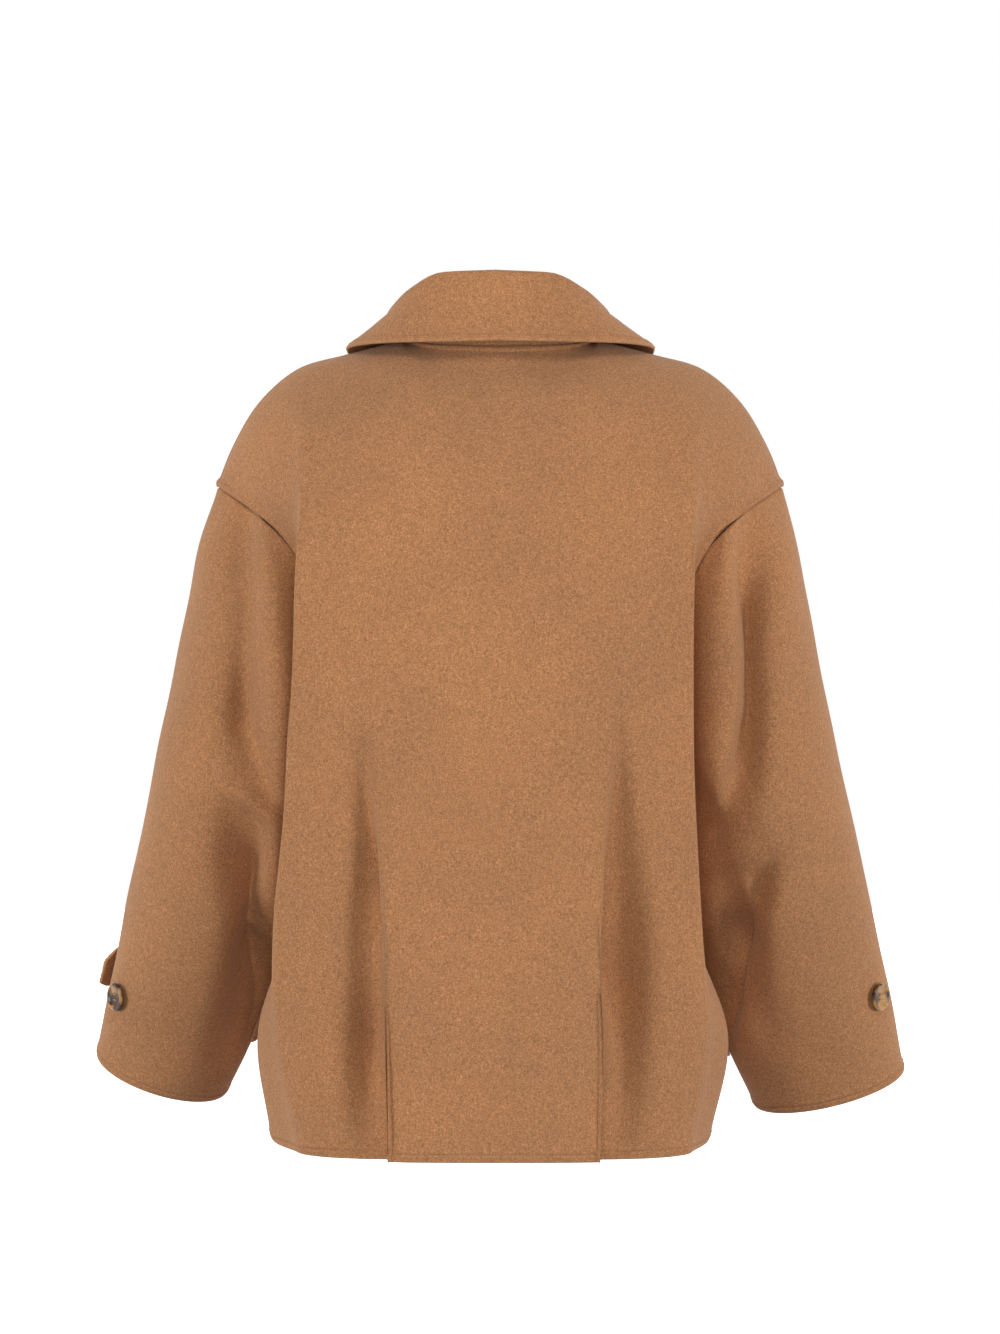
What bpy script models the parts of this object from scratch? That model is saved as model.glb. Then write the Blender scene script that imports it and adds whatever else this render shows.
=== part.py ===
"""A short double-breasted coat of thick double-faced wool, hollow and filled out as when worn.

Frame: +Z is up, the wearer faces -Y, and the wearer's left side is +X. The origin is the
middle of the neck opening, level with the neck seam at the centre back. Metres.

Every panel is one closed thin wall on a smooth surface. The back and the fronts are drawn
through level sections, the sleeves through rings and the collar through stations round the
neck. What lies on a panel (lapels, straps, buttons) is made from that panel's own points.
"""

from collections import namedtuple
from math import cos, pi, radians, sin

import bpy
import numpy as np
from mathutils import Vector
from mathutils.bvhtree import BVHTree

# ---------------------------------------------------------------- driving dimensions
WALL = 0.003  # double-faced wool cloth
SEAM_SHIFT = 0.00016  # each piece stops this far short of a seam line
COLLAR_SHIFT = 0.0005  # the collar does by this much, as its seam turns at the neck's corners
REST_GAP = 0.0004  # what lies on a panel keeps this far off it
LAP_DEPTH = 0.0046  # how far the left front is tucked in under the right one
LAP_FADE = (0.095, 0.128)  # where that tuck ends, from the centre front

NECK_HALF_WIDTH = 0.085
NECK_BACK_DEPTH = 0.068
NECK_SIDE_RISE = 0.012
SHOULDER_REACH = 0.250  # dropped shoulder point, from the centre
BACK_SQUARENESS = 4.0  # how flat the back is between its two side folds
FRONT_SQUARENESS = 3.0
RIDGE_TURN = 0.28  # the side fold is over this share of the way from its ridge to the hollow
SHOULDER_TURN = 1.15  # how full the cloth is where it comes up to the shoulder seam
DEEP_PLEAT = 0.012  # from this depth on, the pleat's foot lies back under its fold
PLEAT_UNDERCUT = 0.004  # by this much
PLEAT_FOOT = 0.06  # where that foot is, as a share of the way from the pleat fold to the ridge
PLEAT_OPENS = 0.15  # from this share on, the cloth comes back out to the ridge
UNDERCUT_ENDS = 0.25
SHARP_COLUMNS = 3  # so many columns next to an armhole turn sharply at the underarm
FOLD_FULLNESS = 0.7  # below 1, a sleeve fold keeps its height over more of its length

FRONT_BUTTON_RADIUS = 0.014
CUFF_BUTTON_RADIUS = 0.0125
BUTTON_THICKNESS = 0.0045
THREAD_SHANK_RADIUS = 0.0024
THREAD_SHANK_HEIGHT = 0.0016
BUTTON_SEGMENTS = 14
FRONT_BUTTON_OFFSET = 0.066  # from the centre front, both columns
FRONT_BUTTON_HEIGHTS = (-0.315, -0.430, -0.545)

LEFT, RIGHT = 1, -1

# ---------------------------------------------------------------- tables of sections
# The line where a body panel ends at the side: side seam up to the underarm, then armhole.
EdgeLevel = namedtuple("EdgeLevel", "z x_left x_right y_back y_front")
EDGE_LEVELS = (
    EdgeLevel(-0.691, 0.2025, 0.1845, 0.000, 0.000),  # hem
    EdgeLevel(-0.600, 0.2040, 0.1900, 0.000, 0.000),  # skirt
    EdgeLevel(-0.500, 0.1720, 0.1590, 0.000, 0.000),  # hip
    EdgeLevel(-0.420, 0.1530, 0.1500, 0.000, 0.000),  # waist
    EdgeLevel(-0.335, 0.1520, 0.1520, 0.000, 0.000),  # underarm
    EdgeLevel(-0.320, 0.1500, 0.1500, 0.030, -0.030),
    EdgeLevel(-0.280, 0.1480, 0.1480, 0.060, -0.058),
    EdgeLevel(-0.230, 0.1550, 0.1550, 0.075, -0.072),
    EdgeLevel(-0.181, 0.1756, 0.1756, 0.080, -0.075),
    EdgeLevel(-0.144, 0.2125, 0.2125, 0.060, -0.055),
    EdgeLevel(-0.127, 0.2365, 0.2365, 0.033, -0.031),
    EdgeLevel(-0.118, SHOULDER_REACH, SHOULDER_REACH, 0.000, 0.000),  # shoulder point
)
UNDERARM = 4
BREAK_ROW = 6  # here the lapel starts to roll
GORGE_ROW = 10  # here the roll line meets the neckline

# The back: centre line, pleat fold, side fold (ridge) and the hollow outside it.
BackLevel = namedtuple(
    "BackLevel",
    "z_mid y_mid z_ridge y_ridge ridge_left ridge_right "
    "crease_left crease_right pleat y_hollow hollow_left hollow_right",
)
BACK_LEVELS = (
    BackLevel(-0.691, 0.167, -0.691, 0.122, 0.1680, 0.1600, 0.0937, 0.0836, 0.012, 0.066, 0.1935, 0.1785),
    BackLevel(-0.600, 0.163, -0.600, 0.114, 0.1890, 0.1757, 0.0955, 0.0860, 0.016, 0.055, 0.2100, 0.1975),
    BackLevel(-0.500, 0.159, -0.500, 0.116, 0.1925, 0.1709, 0.0972, 0.0830, 0.013, 0.060, 0.1820, 0.1660),
    BackLevel(-0.420, 0.156, -0.420, 0.124, 0.1850, 0.1665, 0.1020, 0.0803, 0.006, 0.075, 0.1690, 0.1570),
    BackLevel(-0.330, 0.154, -0.332, 0.127, 0.1795, 0.1640, 0.1000, 0.0810, 0.000, 0.085, 0.1620, 0.1560),
    BackLevel(-0.300, 0.153, -0.306, 0.128, 0.1770, 0.1635, 0.0980, 0.0815, 0.000, 0.090, 0.1600, 0.1540),
    BackLevel(-0.255, 0.151, -0.263, 0.129, 0.1750, 0.1635, 0.0960, 0.0820, 0.000, 0.097, 0.1580, 0.1535),
    BackLevel(-0.205, 0.147, -0.214, 0.129, 0.1735, 0.1645, 0.0940, 0.0830, 0.000, 0.102, 0.1600, 0.1570),
    BackLevel(-0.150, 0.140, -0.163, 0.126, 0.1710, 0.1655, 0.0910, 0.0840, 0.000, 0.102, 0.1720, 0.1700),
    BackLevel(-0.095, 0.126, -0.116, 0.115, 0.1690, 0.1665, 0.0880, 0.0850, 0.000, 0.090, 0.1900, 0.1890),
    BackLevel(-0.045, 0.103, -0.066, 0.088, 0.1700, 0.1690, 0.0860, 0.0850, 0.000, 0.068, 0.2040, 0.2040),
)

# The fronts, each measured from the centre front towards its own side.
FrontLevel = namedtuple(
    "FrontLevel", "z_mid y_front x_start z_flank x_flank y_flank hollow_in y_hollow"
)
FRONT_EDGE = -0.085  # each front runs this far past the centre
FRONT_LEVELS = (
    FrontLevel(-0.691, -0.150, FRONT_EDGE, -0.691, 0.160, -0.112, 0.009, -0.060),
    FrontLevel(-0.600, -0.149, FRONT_EDGE, -0.600, 0.163, -0.110, 0.008, -0.056),
    FrontLevel(-0.500, -0.146, FRONT_EDGE, -0.500, 0.145, -0.109, 0.006, -0.058),
    FrontLevel(-0.420, -0.144, FRONT_EDGE, -0.420, 0.138, -0.110, 0.003, -0.060),
    FrontLevel(-0.335, -0.143, FRONT_EDGE, -0.335, 0.137, -0.114, 0.001, -0.065),
    FrontLevel(-0.305, -0.143, FRONT_EDGE, -0.308, 0.137, -0.115, 0.000, -0.078),
    FrontLevel(-0.270, -0.142, FRONT_EDGE, -0.274, 0.138, -0.115, -0.001, -0.090),
    FrontLevel(-0.215, -0.138, -0.0499, -0.222, 0.140, -0.113, 0.002, -0.097),
    FrontLevel(-0.155, -0.126, -0.0115, -0.168, 0.143, -0.106, 0.012, -0.094),
    FrontLevel(-0.095, -0.104, 0.0268, -0.118, 0.150, -0.093, 0.028, -0.080),
    FrontLevel(-0.040, -0.066, 0.0620, -0.068, 0.160, -0.072, 0.034, -0.058),
)

# The shoulder seam, from the neck to the shoulder point.
ShoulderPoint = namedtuple("ShoulderPoint", "x z")
SHOULDER_LINE = (
    ShoulderPoint(NECK_HALF_WIDTH, NECK_SIDE_RISE),
    ShoulderPoint(0.140, -0.0030),
    ShoulderPoint(0.178, -0.0145),
    ShoulderPoint(0.210, -0.0410),
    ShoulderPoint(0.235, -0.0810),
    ShoulderPoint(SHOULDER_REACH, -0.1180),
)

# Sleeve rings below the armhole. back_dip lowers the ring's back side.
Ring = namedtuple("Ring", "x_outer z_outer x_inner z_inner y_mid half_depth back_dip")
SLEEVE_RINGS = {
    LEFT: (
        Ring(0.2640, -0.165, 0.1590, -0.356, 0.002, 0.085, 0.000),
        Ring(0.2750, -0.215, 0.1610, -0.388, 0.000, 0.086, 0.000),
        Ring(0.2890, -0.280, 0.1640, -0.428, -0.003, 0.085, 0.000),
        Ring(0.3060, -0.360, 0.1730, -0.478, -0.008, 0.082, 0.003),
        Ring(0.3230, -0.440, 0.1880, -0.530, -0.018, 0.076, 0.006),
        Ring(0.3400, -0.515, 0.2060, -0.578, -0.034, 0.067, 0.009),
        Ring(0.3550, -0.580, 0.2290, -0.626, -0.050, 0.058, 0.011),
        Ring(0.3655, -0.627, 0.2480, -0.663, -0.060, 0.053, 0.014),
    ),
    RIGHT: (
        Ring(0.2620, -0.165, 0.1590, -0.357, 0.002, 0.085, 0.000),
        Ring(0.2715, -0.217, 0.1610, -0.391, 0.000, 0.086, 0.000),
        Ring(0.2850, -0.284, 0.1630, -0.434, -0.003, 0.085, 0.000),
        Ring(0.3030, -0.366, 0.1680, -0.486, -0.008, 0.082, 0.003),
        Ring(0.3220, -0.448, 0.1770, -0.541, -0.018, 0.076, 0.006),
        Ring(0.3405, -0.526, 0.1920, -0.592, -0.034, 0.067, 0.008),
        Ring(0.3570, -0.598, 0.2125, -0.637, -0.050, 0.058, 0.009),
        Ring(0.3665, -0.641, 0.2305, -0.675, -0.060, 0.053, 0.011),
    ),
}

# Large sleeve folds. along is 0 at the armhole and 1 at the cuff, angle is in degrees from
# the outer side towards the back, spread is the half width in degrees.
Fold = namedtuple("Fold", "along_start along_end angle_start angle_end spread height")
SLEEVE_FOLDS = {
    LEFT: (
        Fold(0.06, 0.60, 118, 128, 13, 0.007),
        Fold(0.10, 0.62, 90, 98, 14, -0.004),
        Fold(0.62, 0.95, 135, 142, 20, -0.008),
        Fold(0.15, 0.70, 262, 240, 18, -0.005),
        Fold(0.55, 0.90, 300, 285, 16, 0.004),
    ),
    RIGHT: (
        Fold(0.08, 0.50, 116, 124, 13, 0.007),
        Fold(0.30, 0.85, 140, 120, 15, -0.008),
        Fold(0.50, 0.80, 112, 140, 10, 0.005),
        Fold(0.18, 0.74, 258, 244, 18, -0.005),
        Fold(0.50, 0.88, 296, 288, 16, 0.004),
    ),
}

# The collar from the centre back (0) to the gorge (1): its fold and its free edge, each
# measured outwards and upwards from the neck seam.
CollarStation = namedtuple("CollarStation", "along fold_out fold_up edge_out edge_up facing")
COLLAR_STATIONS = (
    CollarStation(0.00, 0.012, 0.0612, 0.027, 0.001, 90),
    CollarStation(0.20, 0.012, 0.0588, 0.031, -0.001, 66),
    CollarStation(0.35, 0.010, 0.0448, 0.039, -0.003, 46),
    CollarStation(0.47, 0.009, 0.0305, 0.047, -0.006, 27),
    CollarStation(0.58, 0.009, 0.0215, 0.051, -0.0095, 8),
    CollarStation(0.80, 0.008, 0.0130, 0.057, -0.021, -14),
    CollarStation(1.00, 0.006, 0.0070, 0.064, -0.031, -22),
)
COLLAR_ROLL = 0.0034  # inner radius of the fold at the top of the collar's stand
LEAF_SAG = 0.10  # how hollow the leaf is, as a share of its reach
COLLAR_LEAF_ROW = 6  # from here on the collar lies over the body
COLLAR_CLEAR = 0.0042  # how far the leaf stays off the body
COLLAR_LEAN = 0.0035  # how far the standing collar leans to the wearer's left at its fold

# The lapel, from the break (0) to the gorge (1): its width outwards from the roll line.
LapelRow = namedtuple("LapelRow", "along width lift")
LAPEL_ROWS = (
    LapelRow(0.00, 0.010, 0.0000),
    LapelRow(0.25, 0.040, 0.0010),
    LapelRow(0.50, 0.066, 0.0020),
    LapelRow(0.75, 0.083, 0.0035),
    LapelRow(0.98, 0.078, 0.0045),
)
LAPEL_FALL = 0.20  # how much lower the lapel's tip is than its start, as a share of its rows
LAPEL_RISE = 0.0012  # clears the front's rounding between its edge and the lapel's edge
LEFT_LAPEL_START = 0.425  # lower down the left lapel would be hidden under the right front
LAPEL_PART = 0.005  # the left lapel keeps this far off the right front's edge

# Each cuff strap runs over the front of its sleeve, between these angles. The left one's
# pointed tip stands off, past the sleeve's outer edge.
Strap = namedtuple("Strap", "angle_start angle_end standing_off droop")
STRAPS = {LEFT: Strap(174, 322, 1.0, 0.45), RIGHT: Strap(174, 290, 0.0, 0.0)}
STRAP_TIP = ((0.016, 1.0), (0.030, 0.80), (0.040, 0.50))  # (distance, share of the width)
STRAP_GAP = 0.0006
STRAP_BEND = 0.055  # bend radius of a strap's end that follows the sleeve

# Cuff buttons: sleeve ring number and degrees from the outer side towards the back.
CuffButton = namedtuple("CuffButton", "ring angle")
CUFF_BUTTONS = {LEFT: CuffButton(6.70, 36), RIGHT: CuffButton(6.48, 36)}

# ---------------------------------------------------------------- mesh fineness
NECK_STEPS = 5
NECK_TO_EDGE = (0.06, 0.22, 0.45, 0.68, 0.86, 0.95, 1.0, 1.22, 1.6, 2.0, 2.5, 3.0)
FRONT_PLACES = (0.0, 0.1, 0.22, 0.35, 0.48, 0.61, 0.74, 0.85, 0.93, 1.0, 1.5, 2.0, 3.0)
BODY_ROWS = (
    0, 0.5, 1, 1.5, 2, 2.5, 3, 3.5, 4, 5, 5.5, 6, 6.5, 7, 7.5, 8, 8.5, 9, 9.5, 10,
    10.33, 10.67, 11,
)
STRAP_ROWS = (6.1, 6.77)
SLEEVE_ROWS = (0, 0.5, 1, 1.5, 2, 2.5, 3, 3.5, 4, 4.5, 5, 5.55, *STRAP_ROWS, 7.4, 8)
LAPEL_COLUMNS = 6


# ---------------------------------------------------------------- curves and surfaces
def smooth_line(points, at, start=None, end=None, corners=()):
    """A smooth curve through points, read at places counted in points (0 is the first one).

    corners holds (place, sharpness) pairs: with sharpness 1 the curve turns there at once.
    """
    points = np.asarray(points, float)
    steps = np.diff(points, axis=0)
    lengths = np.maximum(np.linalg.norm(steps, axis=1), 1e-7)[:, None]
    secants = steps / lengths
    slopes = np.empty_like(points)
    slopes[0] = secants[0] if start is None else start
    slopes[-1] = secants[-1] if end is None else end
    before, after = lengths[:-1], lengths[1:]
    slopes[1:-1] = (secants[:-1] * after + secants[1:] * before) / (before + after)
    leaving, arriving = slopes.copy(), slopes.copy()
    for place, sharpness in corners:
        leaving[place] += (secants[place] - slopes[place]) * sharpness
        arriving[place] += (secants[place - 1] - slopes[place]) * sharpness
    at = np.asarray(at, float)
    index = np.clip(at.astype(int), 0, len(points) - 2)
    t = (at - index)[:, None]
    span = lengths[index]
    first, last = points[index], points[index + 1]
    return (
        first * (1 + 2 * t) * (1 - t) ** 2
        + leaving[index] * span * t * (1 - t) ** 2
        + last * t**2 * (3 - 2 * t)
        + arriving[index + 1] * span * t**2 * (t - 1)
    )


def fade(value, low, high):
    """0 below low, 1 above high, and soft between them."""
    t = np.clip((np.asarray(value, float) - low) / (high - low), 0, 1)
    return t * t * (3 - 2 * t)


def between(table, key, value, column):
    """A column of a table, read at a value of its key column."""
    return np.interp(value, [getattr(row, key) for row in table], [getattr(row, column) for row in table])


def unit(vectors):
    length = np.linalg.norm(vectors, axis=-1, keepdims=True)
    return vectors / np.maximum(length, 1e-12)


def grid_normals(points, closed):
    """Normals of a grid of points, from the way its rows and columns run."""
    if closed:
        across = np.roll(points, -1, axis=1) - np.roll(points, 1, axis=1)
    else:
        across = np.gradient(points, axis=1)
    along = np.gradient(points, axis=0)
    return unit(np.cross(across, along))


class Panel:
    """A grid of points on the outer face of a piece of cloth: rows go up, columns across."""

    def __init__(self, name, points, closed=False, outwards=1):
        self.name = name
        self.points = points
        self.closed = closed
        self.outwards = outwards
        self.normals = grid_normals(points, closed) * outwards
        self.shift = np.zeros_like(points)

    def rim(self):
        """Row and column numbers of the grid's border."""
        rows, columns = self.points.shape[:2]
        border = [(row, column) for row in (0, rows - 1) for column in range(columns)]
        if not self.closed:
            border += [(row, column) for row in range(rows) for column in (0, columns - 1)]
        return sorted(set(border))

    def stop_short(self, side, shift=SEAM_SHIFT):
        """Notes that one side of the grid is a seam, where the piece stops short of the line."""
        if side in ("bottom", "top"):
            row = 0 if side == "bottom" else -1
            inner = 1 if side == "bottom" else -2
            line, inside = self.points[row], self.points[inner]
            normals, place = self.normals[row], (row, slice(None))
        else:
            column = 0 if side == "first" else -1
            inner = 1 if side == "first" else -2
            line, inside = self.points[:, column], self.points[:, inner]
            normals, place = self.normals[:, column], (slice(None), column)
        if self.closed:
            tangent = np.roll(line, -1, axis=0) - np.roll(line, 1, axis=0)
        else:
            tangent = np.gradient(line, axis=0)
        away = unit(np.cross(unit(tangent), normals))
        away *= np.sign(np.sum(away * (inside - line), axis=1, keepdims=True))
        self.shift[place] += away * shift


def share_normals(panels):
    """Gives points that two or more panels share one common normal, for mitred seams."""
    places = [(panel, place) for panel in panels for place in panel.rim()]
    spots = np.array([panel.points[place] for panel, place in places])
    sums = []
    for spot in spots:
        near = np.flatnonzero(np.linalg.norm(spots - spot, axis=1) < 1e-6)
        owners = {}
        for number in near:
            panel, place = places[number]
            owners[panel.name] = panel.normals[place]
        sums.append(unit(sum(owners.values())))
    for (panel, place), normal in zip(places, sums):
        panel.normals[place] = normal


def triangles(rows, columns, closed, offset=0, turned=False):
    faces = []
    for row in range(rows - 1):
        for column in range(columns if closed else columns - 1):
            right = (column + 1) % columns
            a, b = row * columns + column, row * columns + right
            c, d = a + columns, b + columns
            faces += [(a, b, d), (a, d, c)]
    if turned:
        faces = [face[::-1] for face in faces]
    return [tuple(corner + offset for corner in face) for face in faces]


def wall_mesh(panel):
    """Points and triangles of the closed wall under a panel's outer face."""
    rows, columns = panel.points.shape[:2]
    outer = (panel.points + panel.shift).reshape(-1, 3)
    inner = outer - panel.normals.reshape(-1, 3) * WALL
    count = len(outer)
    flip = panel.outwards < 0
    faces = triangles(rows, columns, panel.closed, 0, flip)
    faces += triangles(rows, columns, panel.closed, count, not flip)
    bottom = list(range(columns))
    top = [(rows - 1) * columns + column for column in range(columns)]
    if panel.closed:
        loops = [bottom + bottom[:1], (top + top[:1])[::-1]]
    else:
        right = [row * columns + columns - 1 for row in range(rows)]
        left = [row * columns for row in range(rows)]
        loops = [bottom + right[1:] + top[::-1][1:] + left[::-1][1:]]
    for loop in loops:
        for a, b in zip(loop, loop[1:]):
            rim = [(b, a, a + count), (b, a + count, b + count)]
            faces += [face[::-1] for face in rim] if flip else rim
    return np.concatenate([outer, inner]), faces


# ---------------------------------------------------------------- body sections
def edge_point(number, side, front):
    level = EDGE_LEVELS[number]
    x = level.x_left if side == LEFT else level.x_right
    return np.array([side * x, level.y_front if front else level.y_back, level.z])


def shoulder_points(side, count):
    """Points along the shoulder seam, from the neck to the shoulder point."""
    line = [(side * point.x, 0.0, point.z) for point in SHOULDER_LINE]
    return smooth_line(line, np.linspace(0, len(line) - 1, count))


def neck_points(side, count):
    """Points along the back neck seam, from the centre back to the shoulder seam."""
    turn = np.linspace(0, pi / 2, count)
    x = side * NECK_HALF_WIDTH * np.sin(turn)
    y = NECK_BACK_DEPTH * np.cos(turn)
    z = NECK_SIDE_RISE * (1 - np.cos(turn))
    return np.stack([x, y, z], axis=1)


def pleat_drop(level, share):
    """How far the cloth lies inside the back's own line, from the pleat fold (0) to the ridge (1)."""
    return level.pleat * (fade(share, 0.0, PLEAT_FOOT) - fade(share, PLEAT_OPENS, 1.0))


def back_half_section(number, side, neck_steps, neck_to_edge):
    """One level of half the back, from the centre to the side."""
    level = BACK_LEVELS[number]
    left = side == LEFT
    ridge = level.ridge_left if left else level.ridge_right
    crease = level.crease_left if left else level.crease_right
    hollow_x = level.hollow_left if left else level.hollow_right
    edge = edge_point(number, side, front=False)
    hollow_z = (level.z_ridge + edge[2]) / 2
    shares = (0.0, 0.25, 0.5, 0.7, 0.84, 0.94, 1.0)
    points = []
    for share in shares:
        bend = share**BACK_SQUARENESS
        y = level.y_mid + (level.y_ridge - level.y_mid) * bend
        z = level.z_mid + (level.z_ridge - level.z_mid) * share**2
        points.append((side * ridge * share, y, z))
    hollow = np.array([side * hollow_x, level.y_hollow, hollow_z])
    points.append(points[-1] + (hollow - points[-1]) * RIDGE_TURN)
    points += [hollow, edge]
    end = (0.0, -1.0, 0.0) if number <= UNDERARM else None
    places = np.array(shares + (1.22, 2.0, 3.0))
    crease_share = crease / ridge
    inner = np.linspace(0, crease_share, neck_steps + 1)
    outer = np.array(neck_to_edge)
    outer = np.where(outer < 1, crease_share + (1 - crease_share) * outer, outer)
    wanted = np.concatenate([inner, outer])
    at = np.interp(wanted, places, np.arange(len(places)))
    line = smooth_line(points, at, start=(side, 0.0, 0.0), end=end)
    share = (wanted - crease_share) / (1 - crease_share)
    share[: neck_steps + 1] = 0.0
    line[:, 1] -= pleat_drop(level, share)
    way = np.abs(line[:, 0]) - crease
    under = way + PLEAT_UNDERCUT * np.minimum(share / PLEAT_FOOT, 1.0)
    depth = min(level.pleat / DEEP_PLEAT, 1.0)
    line[:, 0] -= side * depth * under * (share > 0) * (1 - fade(share, PLEAT_FOOT, UNDERCUT_ENDS))
    return line


def back_half(side, neck_steps, neck_to_edge, rows):
    """Half of the back as a grid, from the centre to the side and from the hem up."""
    sections = [
        back_half_section(number, side, neck_steps, neck_to_edge) for number in range(len(BACK_LEVELS))
    ]
    neck = neck_points(side, neck_steps + 1)
    shoulder = shoulder_points(side, len(neck_to_edge) + 1)
    sections.append(np.concatenate([neck, shoulder[1:]]))
    sections = np.array(sections)
    columns = sections.shape[1]
    grid = []
    for column in range(columns):
        line = sections[:, column]
        over = fade(column, 0.4 * neck_steps, neck_steps + 0.5)
        last = unit(line[-1] - line[-2])
        end = last * (1 - over) + np.array([0.0, -SHOULDER_TURN, 0.0]) * over
        near_edge = fade(column, columns - 1 - SHARP_COLUMNS, columns - 1)
        grid.append(smooth_line(line, rows, end=end, corners=[(UNDERARM, near_edge)]))
    return np.array(grid).transpose(1, 0, 2)


def build_back(neck_steps, neck_to_edge, rows):
    right = back_half(RIGHT, neck_steps, neck_to_edge, rows)
    left = back_half(LEFT, neck_steps, neck_to_edge, rows)
    return Panel("back", np.concatenate([left[:, :0:-1], right], axis=1))


def front_section(number, side, places_wanted):
    """One level of a front, from its free edge to the side seam or armhole."""
    level = FRONT_LEVELS[number]
    edge = edge_point(number, side, front=True)
    shares = (0.0, 0.2, 0.4, 0.6, 0.8, 0.92, 1.0)
    points = []
    for share in shares:
        x = level.x_start + (level.x_flank - level.x_start) * share
        bend = (abs(x) / level.x_flank) ** FRONT_SQUARENESS
        y = level.y_front + (level.y_flank - level.y_front) * bend
        z = level.z_mid + (level.z_flank - level.z_mid) * share**2
        points.append((side * x, y, z))
    hollow_z = (level.z_flank + edge[2]) / 2
    points.append((edge[0] - side * level.hollow_in, level.y_hollow, hollow_z))
    points.append(edge)
    end = (0.0, 1.0, 0.0) if number <= UNDERARM else None
    at = np.interp(places_wanted, shares + (2.0, 3.0), np.arange(len(points)))
    line = smooth_line(points, at, end=end)
    if side == LEFT:
        line[:, 1] += LAP_DEPTH * (1 - fade(line[:, 0], *LAP_FADE))
    return line


def build_front(side, places, rows):
    """One front as a grid, from its free edge to the side and from the hem up."""
    sections = [front_section(number, side, places) for number in range(len(FRONT_LEVELS))]
    sections.append(shoulder_points(side, len(places)))
    sections = np.array(sections)
    columns = sections.shape[1]
    grid = []
    for column in range(columns):
        line = sections[:, column]
        near_neck = 1 - fade(column, 0, columns / 4)
        last = unit(line[-1] - line[-2])
        end = last * near_neck + np.array([0.0, SHOULDER_TURN, 0.0]) * (1 - near_neck)
        near_edge = fade(column, columns - 1 - SHARP_COLUMNS, columns - 1)
        corners = [(UNDERARM, near_edge), (BREAK_ROW, near_neck), (GORGE_ROW, near_neck)]
        grid.append(smooth_line(line, rows, end=end, corners=corners))
    grid = np.array(grid).transpose(1, 0, 2)
    name = "front_left" if side == LEFT else "front_right"
    return Panel(name, grid, outwards=side)


# ---------------------------------------------------------------- sleeves
def fold_height(folds, along, angle):
    """How far the sleeve's large folds lift or sink the cloth at one place."""
    height = 0.0
    for fold in folds:
        way = (along - fold.along_start) / (fold.along_end - fold.along_start)
        if not 0 < way < 1:
            continue
        ridge = fold.angle_start + (fold.angle_end - fold.angle_start) * way
        rise = fold.height * sin(pi * way) ** FOLD_FULLNESS
        height += rise * np.exp(-(((angle - ridge) / fold.spread) ** 2))
    return height


def build_sleeve(side, back, front, rows, arm_row):
    """A sleeve as closed rings, from the armhole down to the cuff."""
    back_column = 0 if side == LEFT else -1
    down_back = back.points[arm_row:, back_column][::-1]
    up_front = front.points[arm_row:, -1]
    armhole = np.concatenate([down_back, up_front[1:-1]])
    half = len(down_back) - 1
    steps = np.linalg.norm(np.diff(down_back, axis=0), axis=1)
    share = np.concatenate([[0], np.cumsum(steps)]) / steps.sum()
    angles = np.concatenate([180 * share, 360 - 180 * share[1:-1][::-1]])
    rings = [armhole]
    for ring in SLEEVE_RINGS[side]:
        turn = np.radians(angles)
        out = (1 + np.cos(turn)) / 2
        x = ring.x_inner + (ring.x_outer - ring.x_inner) * out
        z = ring.z_inner + (ring.z_outer - ring.z_inner) * out - ring.back_dip * np.sin(turn)
        y = ring.y_mid + ring.half_depth * np.sin(turn)
        rings.append(np.stack([side * x, y, z], axis=1))
    rings = np.array(rings)
    grid = np.array([smooth_line(rings[:, column], rows) for column in range(2 * half)])
    grid = grid.transpose(1, 0, 2)
    name = "sleeve_left" if side == LEFT else "sleeve_right"
    panel = Panel(name, grid, closed=True, outwards=-side)
    last = rows[-1]
    for row, place in enumerate(rows):
        for column, angle in enumerate(angles):
            lift = fold_height(SLEEVE_FOLDS[side], place / last, angle)
            panel.points[row, column] += panel.normals[row, column] * lift
    panel.normals = grid_normals(panel.points, True) * panel.outwards
    return panel, angles


# ---------------------------------------------------------------- collar and lapels
def collar_profile(station, roll=COLLAR_ROLL):
    """A collar section as (out, up) pairs: neck seam, stand, roll, leaf and free edge."""
    fold_out, fold_up, edge_out, edge_up = station
    stand_top = fold_up - roll
    outline = [(0.0, 0.0), (0.45 * (fold_out - roll), 0.5 * stand_top), (fold_out - roll, stand_top)]
    for turn in (45, 90, 135):
        outline.append((fold_out - roll * cos(radians(turn)), stand_top + roll * sin(radians(turn))))
    start = (fold_out + roll, stand_top)
    for share in (0.0, 0.3, 0.65, 1.0):
        sag = LEAF_SAG * share * (1 - share) * (edge_out - start[0])
        out = start[0] + (edge_out - start[0]) * share - sag
        outline.append((out, start[1] + (edge_up - start[1]) * share + sag))
    return outline


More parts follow.
